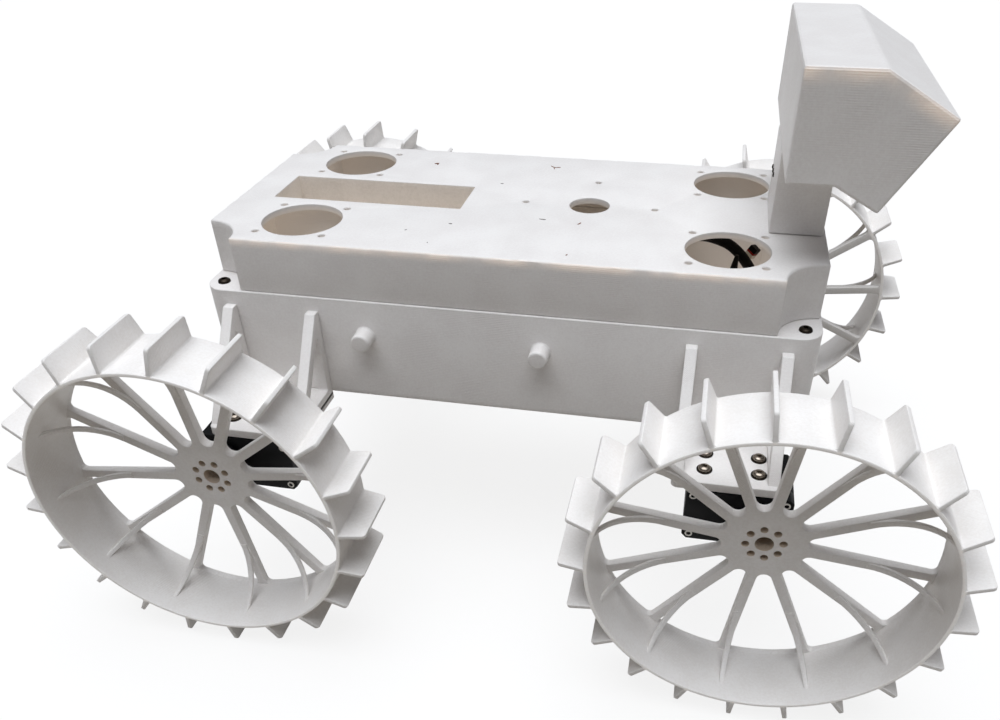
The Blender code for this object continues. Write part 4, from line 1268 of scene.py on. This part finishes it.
heads = bmesh.new()
washers = bmesh.new()
rims = bmesh.new()
plate_top = AXLE_HEIGHT + PLATE_UNDER + BRACKET_PLATE
for corner, end, side, turned in CORNERS:
    for x in BRACKET_SCREWS_X:
        for y in BRACKET_SCREWS_Y:
            place = Matrix.Translation((end * x, side * y, plate_top))
            add_turned(washers, WASHER_PROFILE, place)
            turn = Matrix.Rotation(x * SOCKET_TURNS[0] + y * SOCKET_TURNS[1], 4, "Z")
            add_button_head(heads, place @ Matrix.Translation((0, 0, WASHER_THICK)) @ turn)
    place = Matrix.Translation((end * EAR_SCREW[0], side * EAR_SCREW[1], TUB_TOP))
    add_button_head(washers, place @ Matrix.Rotation(end + 2 * side, 4, "Z"), EAR_SCREW_SCALE)
    face = corner_matrix(end, side, WHEELBASE_HALF, SERVO_FACE, 0.0)
    for x in (SERVO_INSET - SERVO_SCREW_INSET, SERVO_INSET - SERVO_LENGTH + SERVO_SCREW_INSET):
        for z in (-1, 1):
            place = Matrix.Translation((x, 0.0, z * (SERVO_HALF_HEIGHT - SERVO_SCREW_INSET)))
            facing = Matrix.Rotation(-math.pi / 2, 4, "X")
            add_turned(rims, SERVO_SCREW_RIM, face @ place @ facing, 24, ring=True)
for y in NECK_SCREWS_Y:
    place = Matrix.Translation((NECK_REAR, y, DECK_TOP + NECK_SCREW_RISE))
    add_button_head(washers, place @ Matrix.Rotation(-math.pi / 2, 4, "Y"), NECK_SCREW_SCALE)
for bm, name, finish in (
        (heads, "button_head_screws", screw_steel),
        (washers, "washers_and_dark_screws", washer_steel),
        (rims, "servo_corner_screws", rim_steel)):
    screws = show_fixed(bm, name, [finish])
    print(name + ":", len(screws.data.polygons), "faces")

# %% [markdown]
# ## Camera windows
#
# The picture shows the head from behind, so the two windows are those of a common stereo camera. A flat
# glass is in each pocket already. A moulded ring holds it, and a small round lens bulges in its middle,
# in a ring of its own. All of them are turned about the pocket's axis, which points forwards and down by
# 30 degrees.

# %% Camera rings and lenses
GLASS_FACE = 0.00135
GLASS_FACING = Matrix.Rotation(math.radians(120), 4, "Y")
RING_PROFILE = ((0.0066, 0.0), (0.0079, 0.0), (0.0079, 0.0005), (0.0077, 0.0007), (0.0068, 0.0007),
                (0.0066, 0.0005))
BARREL_PROFILE = ((0.0028, 0.0), (0.0040, 0.0), (0.0040, 0.0003), (0.0038, 0.0005), (0.0030, 0.0005),
                  (0.0028, 0.0003))
LENS_PROFILE = ((0.0, 0.0), (0.0028, 0.0), (0.0027, 0.0002), (0.0020, 0.0005), (0.0011, 0.0007),
                (0.0, 0.00075))
LENS_SMOOTH_ANGLE = 60

rings = bmesh.new()
domes = bmesh.new()
for window in ("camera_lens_left", "camera_lens_right"):
    low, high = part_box(window)
    place = Matrix.Translation((low + high) / 2) @ GLASS_FACING @ Matrix.Translation((0, 0, GLASS_FACE))
    add_turned(rings, RING_PROFILE, place, 64, ring=True)
    add_turned(rings, BARREL_PROFILE, place, 48, ring=True)
    add_turned(domes, LENS_PROFILE, place, 48)
show_fixed(rings, "camera_rings", [servo_abs])
show_fixed(domes, "camera_lens_domes", [window_glass], smooth_angle=LENS_SMOOTH_ANGLE)
print("camera windows: 2, each with a ring, a barrel and a lens")

# %% [markdown]
# ## The neck
#
# The neck is a block with eased edges whose top follows the folded underside of the head, so it is an
# outline in side view pushed sideways.

# %% Make the neck
NECK_LENGTH = 0.0239
NECK_HALF = 0.0197
NECK_EDGE = 0.0006
NECK_TOP_EDGE = 0.0002
HEAD_RISE = 0.0368
HEAD_FOLD = 0.0192
HEAD_FOLD_SLOPE = -0.0098 / 0.0180


def make_neck():
    low, high = DECK_TOP + GAP, DECK_TOP + HEAD_RISE - GAP
    front = NECK_REAR + NECK_LENGTH
    fold = NECK_REAR + HEAD_FOLD
    front_top = high + (front - fold) * HEAD_FOLD_SLOPE
    outline = [(NECK_REAR, low), (front, low), (front, front_top), (fold, high), (NECK_REAR, high)]
    bm = bmesh.new()
    eased = round_corners(outline, [NECK_EDGE] * 2 + [NECK_TOP_EDGE] * 3, 3)
    add_plate(bm, [eased], -NECK_HALF, NECK_HALF, (NECK_EDGE, NECK_EDGE), "y")
    return show_fixed(bm, "printed_neck", [upright_pla], ["neck"])


neck = make_neck()
print("neck:", len(neck.data.polygons), "faces")

# %% [markdown]
# ## Leads
#
# Through the front right port show a black lead that arches from one side of the body to the other, a
# sleeve that ends in a point, and a thin red lead with a plug. A lead is a ring of points carried along a
# smooth curve through its route, and the sleeve's ring shrinks over its last centimetre.

# %% Lead routes
# Each row: x, y, height above the tub's floor
LEAD_ROUTE = (
    (0.0650, 0.0440, GAP),
    (0.0652, 0.0438, 0.0140),
    (0.0690, 0.0410, 0.0320),
    (0.0780, 0.0330, 0.0470),
    (0.0880, 0.0205, 0.0550),
    (0.0977, 0.0085, 0.0582),
    (0.1040, 0.0045, 0.0565),
    (0.1100, 0.0030, 0.0510),
    (0.1140, 0.0055, 0.0430),
    (0.1155, 0.0070, 0.0280),
    (0.1157, 0.0072, 0.0120),
    (0.1157, 0.0072, GAP),
)
SLEEVE_ROUTE = (
    (0.1020, -0.0100, GAP),
    (0.1027, -0.0096, 0.0240),
    (0.1042, -0.0090, 0.0480),
    (0.1052, -0.0088, 0.0590),
)
PLUG_ROUTE = (
    (0.1120, 0.0230, GAP),
    (0.1116, 0.0222, 0.0160),
    (0.1120, 0.0206, 0.0320),
    (0.1124, 0.0200, 0.0460),
)
# Each row: name, route, radius, radius of its tip, length of its taper, finish, record slot, its solid
LEADS = (
    ("black_lead", LEAD_ROUTE, 0.0026, 0.0, 0.0, black_sleeve, "black_sheath", "inner_lead"),
    ("pointed_sleeve", SLEEVE_ROUTE, 0.0023, 0.0009, 0.0110, black_sleeve, "black_sheath", "sleeved_lead"),
    ("red_lead", PLUG_ROUTE, 0.0012, 0.0, 0.0, red_sleeve, "red_sheath", "plug_lead"),
)
print("leads:", ", ".join(row[0] for row in LEADS))

# %% Make the leads
LEAD_SIDES = 24
LEAD_STEPS = 8


def smooth_route(route):
    """Points on a smooth curve through a route."""
    knots = [Vector((x, y, TUB_FLOOR + height)) for x, y, height in route]
    ends = [2 * knots[0] - knots[1]] + knots + [2 * knots[-1] - knots[-2]]
    points = []
    for before, here, ahead, after in zip(ends, ends[1:], ends[2:], ends[3:]):
        for k in range(LEAD_STEPS):
            t = k / LEAD_STEPS
            points.append(0.5 * (
                2 * here + (ahead - before) * t
                + (2 * before - 5 * here + 4 * ahead - after) * t ** 2
                + (3 * here - before - 3 * ahead + after) * t ** 3))
    return points + [knots[-1]]


def add_lead(bm, route, radius, tip_radius, taper):
    """Carry a round ring along a route; over the last taper it shrinks to the tip's radius."""
    points = smooth_route(route)
    rows = []
    for k, point in enumerate(points):
        along = (points[min(k + 1, len(points) - 1)] - points[max(k - 1, 0)]).normalized()
        if k in (0, len(points) - 1):
            along = Vector((0, 0, 1 if along.z > 0 else -1))
        side = (Vector((0, 1, 0)) - along * along.y).normalized()
        other = along.cross(side)
        left = min(1.0, (points[-1] - point).length / taper) if taper else 1.0
        size = tip_radius + (radius - tip_radius) * left
        ring = circle((0, 0), size, LEAD_SIDES)
        rows.append([bm.verts.new(point + side * a + other * b) for a, b in ring])
    join_rows(bm, rows, capped=True)


for name, route, radius, tip_radius, taper, finish, slot, solid in LEADS:
    bm = bmesh.new()
    add_lead(bm, route, radius, tip_radius, taper)
    lead = show_fixed(bm, name, [finish], [solid])
    print(name + ":", len(lead.data.polygons), "faces")

# %% [markdown]
# The plug on the red lead is a nylon foot, a red band and a black body on top of each other, with eased
# corners. It stands askew, so all three are turned and tilted together.

# %% Make the plug
PLUG_HALF = (0.0023, 0.0027)
PLUG_CORNER = 0.0007
PLUG_TURN = Matrix.Rotation(math.radians(-32), 2)
PLUG_TILT = Matrix.Rotation(math.radians(32), 4, "Y")
# Each row: name, bottom and top above the plug's foot, top rounding, finish, record slot, its solid
PLUG_PARTS = (
    ("plug_foot", 0.0, 0.0022, 0.0, plug_nylon, "white_print", []),
    ("plug_band", 0.0022, 0.0032, 0.0, red_sleeve, "red_sheath", []),
    ("plug_body", 0.0032, 0.0057, 0.0004, black_sleeve, "black_sheath", ["lead_plug"]),
)
plug_x, plug_y, plug_height = PLUG_ROUTE[-1]
plug_low = TUB_FLOOR + plug_height + GAP
corners = []
for a, b in ((-1, -1), (1, -1), (1, 1), (-1, 1)):
    point = PLUG_TURN @ Vector((a * PLUG_HALF[0], b * PLUG_HALF[1]))
    corners.append((plug_x + point.x, plug_y + point.y))
outline = round_corners(corners, PLUG_CORNER, 4)
for name, low, high, rounding, finish, slot, solids in PLUG_PARTS:
    bm = bmesh.new()
    add_plate(bm, [outline], plug_low + low, plug_low + high, (0.0, rounding))
    bmesh.ops.rotate(bm, cent=(plug_x, plug_y, plug_low), matrix=PLUG_TILT, verts=bm.verts)
    show_fixed(bm, name, [finish], solids)
print("parts of the plug:", len(PLUG_PARTS))

# %% [markdown]
# ## Dirt on the deck
#
# A few crumbs lie on the deck: brown fibres that blew in, and grey swarf from drilling. Each is a thin
# flake with a bent, pointed outline, laid where the picture shows it.

# %% Specks
FLAKE_HEIGHT = 0.0002
FLAKE_SUNK = 0.00002
# An outline along and across the flake, as shares of its length and width
FLAKE_OUTLINE = ((-0.5, 0.0), (-0.15, -0.5), (0.25, -0.4), (0.5, 0.1), (0.2, 0.5), (-0.2, 0.35))
BEND_MIDDLE = 0.1
# Each row: x, y on the deck, length, width, direction in degrees, bend, finish
SPECKS = (
    (-0.0582, 0.0451, 0.0026, 0.0011, 20, 0.2, brown_fibre),
    (-0.0574, 0.0440, 0.0016, 0.0006, -60, 0.0, brown_fibre),
    (0.0052, 0.0503, 0.0042, 0.0006, -38, 0.35, brown_fibre),
    (0.0078, 0.0497, 0.0030, 0.0005, 15, -0.3, brown_fibre),
    (0.0062, 0.0478, 0.0016, 0.0005, -75, 0.0, brown_fibre),
    (0.0129, -0.0211, 0.0034, 0.0006, -8, 0.1, grey_swarf),
    (0.0309, -0.0232, 0.0030, 0.0006, 60, 0.2, brown_fibre),
    (-0.0164, 0.0214, 0.0015, 0.0006, 10, 0.0, grey_swarf),
    (-0.0286, -0.0335, 0.0018, 0.0007, 0, 0.0, grey_swarf),
    (-0.0470, -0.0440, 0.0012, 0.0006, 30, 0.0, grey_swarf),
    (-0.0330, -0.0560, 0.0010, 0.0005, 80, 0.0, grey_swarf),
    (0.0307, -0.0581, 0.0012, 0.0006, 45, 0.0, brown_fibre),
)


def add_flake(bm, x, y, length, width, direction, bend):
    turn = Matrix.Rotation(math.radians(direction), 2)
    outline = []
    for along, across in FLAKE_OUTLINE:
        bent = bend * length * (along ** 2 - BEND_MIDDLE)
        point = turn @ Vector((along * length, across * width + bent))
        outline.append((x + point.x, y + point.y))
    add_plate(bm, [outline], DECK_TOP - FLAKE_SUNK, DECK_TOP + FLAKE_HEIGHT, (0.0, 0.0))


for name, finish in (("fibre_crumbs", brown_fibre), ("swarf_crumbs", grey_swarf)):
    bm = bmesh.new()
    for *shape, made_of in SPECKS:
        if made_of is finish:
            add_flake(bm, *shape)
    show_fixed(bm, name, [finish])
print("crumbs on the deck:", len(SPECKS))

# %% [markdown]
# ## What the solids already show
#
# Head, servo discs and camera windows have their true shape in the solids and only need their finish.

# %% Finish the remaining solids
for name, node in frame["nodes"].items():
    for start, finish in (
            ("camera_head", head_pla), ("servo_horn", horn_aluminium), ("camera_lens", window_glass)):
        if name.startswith(start):
            node.data.materials.clear()
            node.data.materials.append(finish)
            print(name, "carries", finish.name)
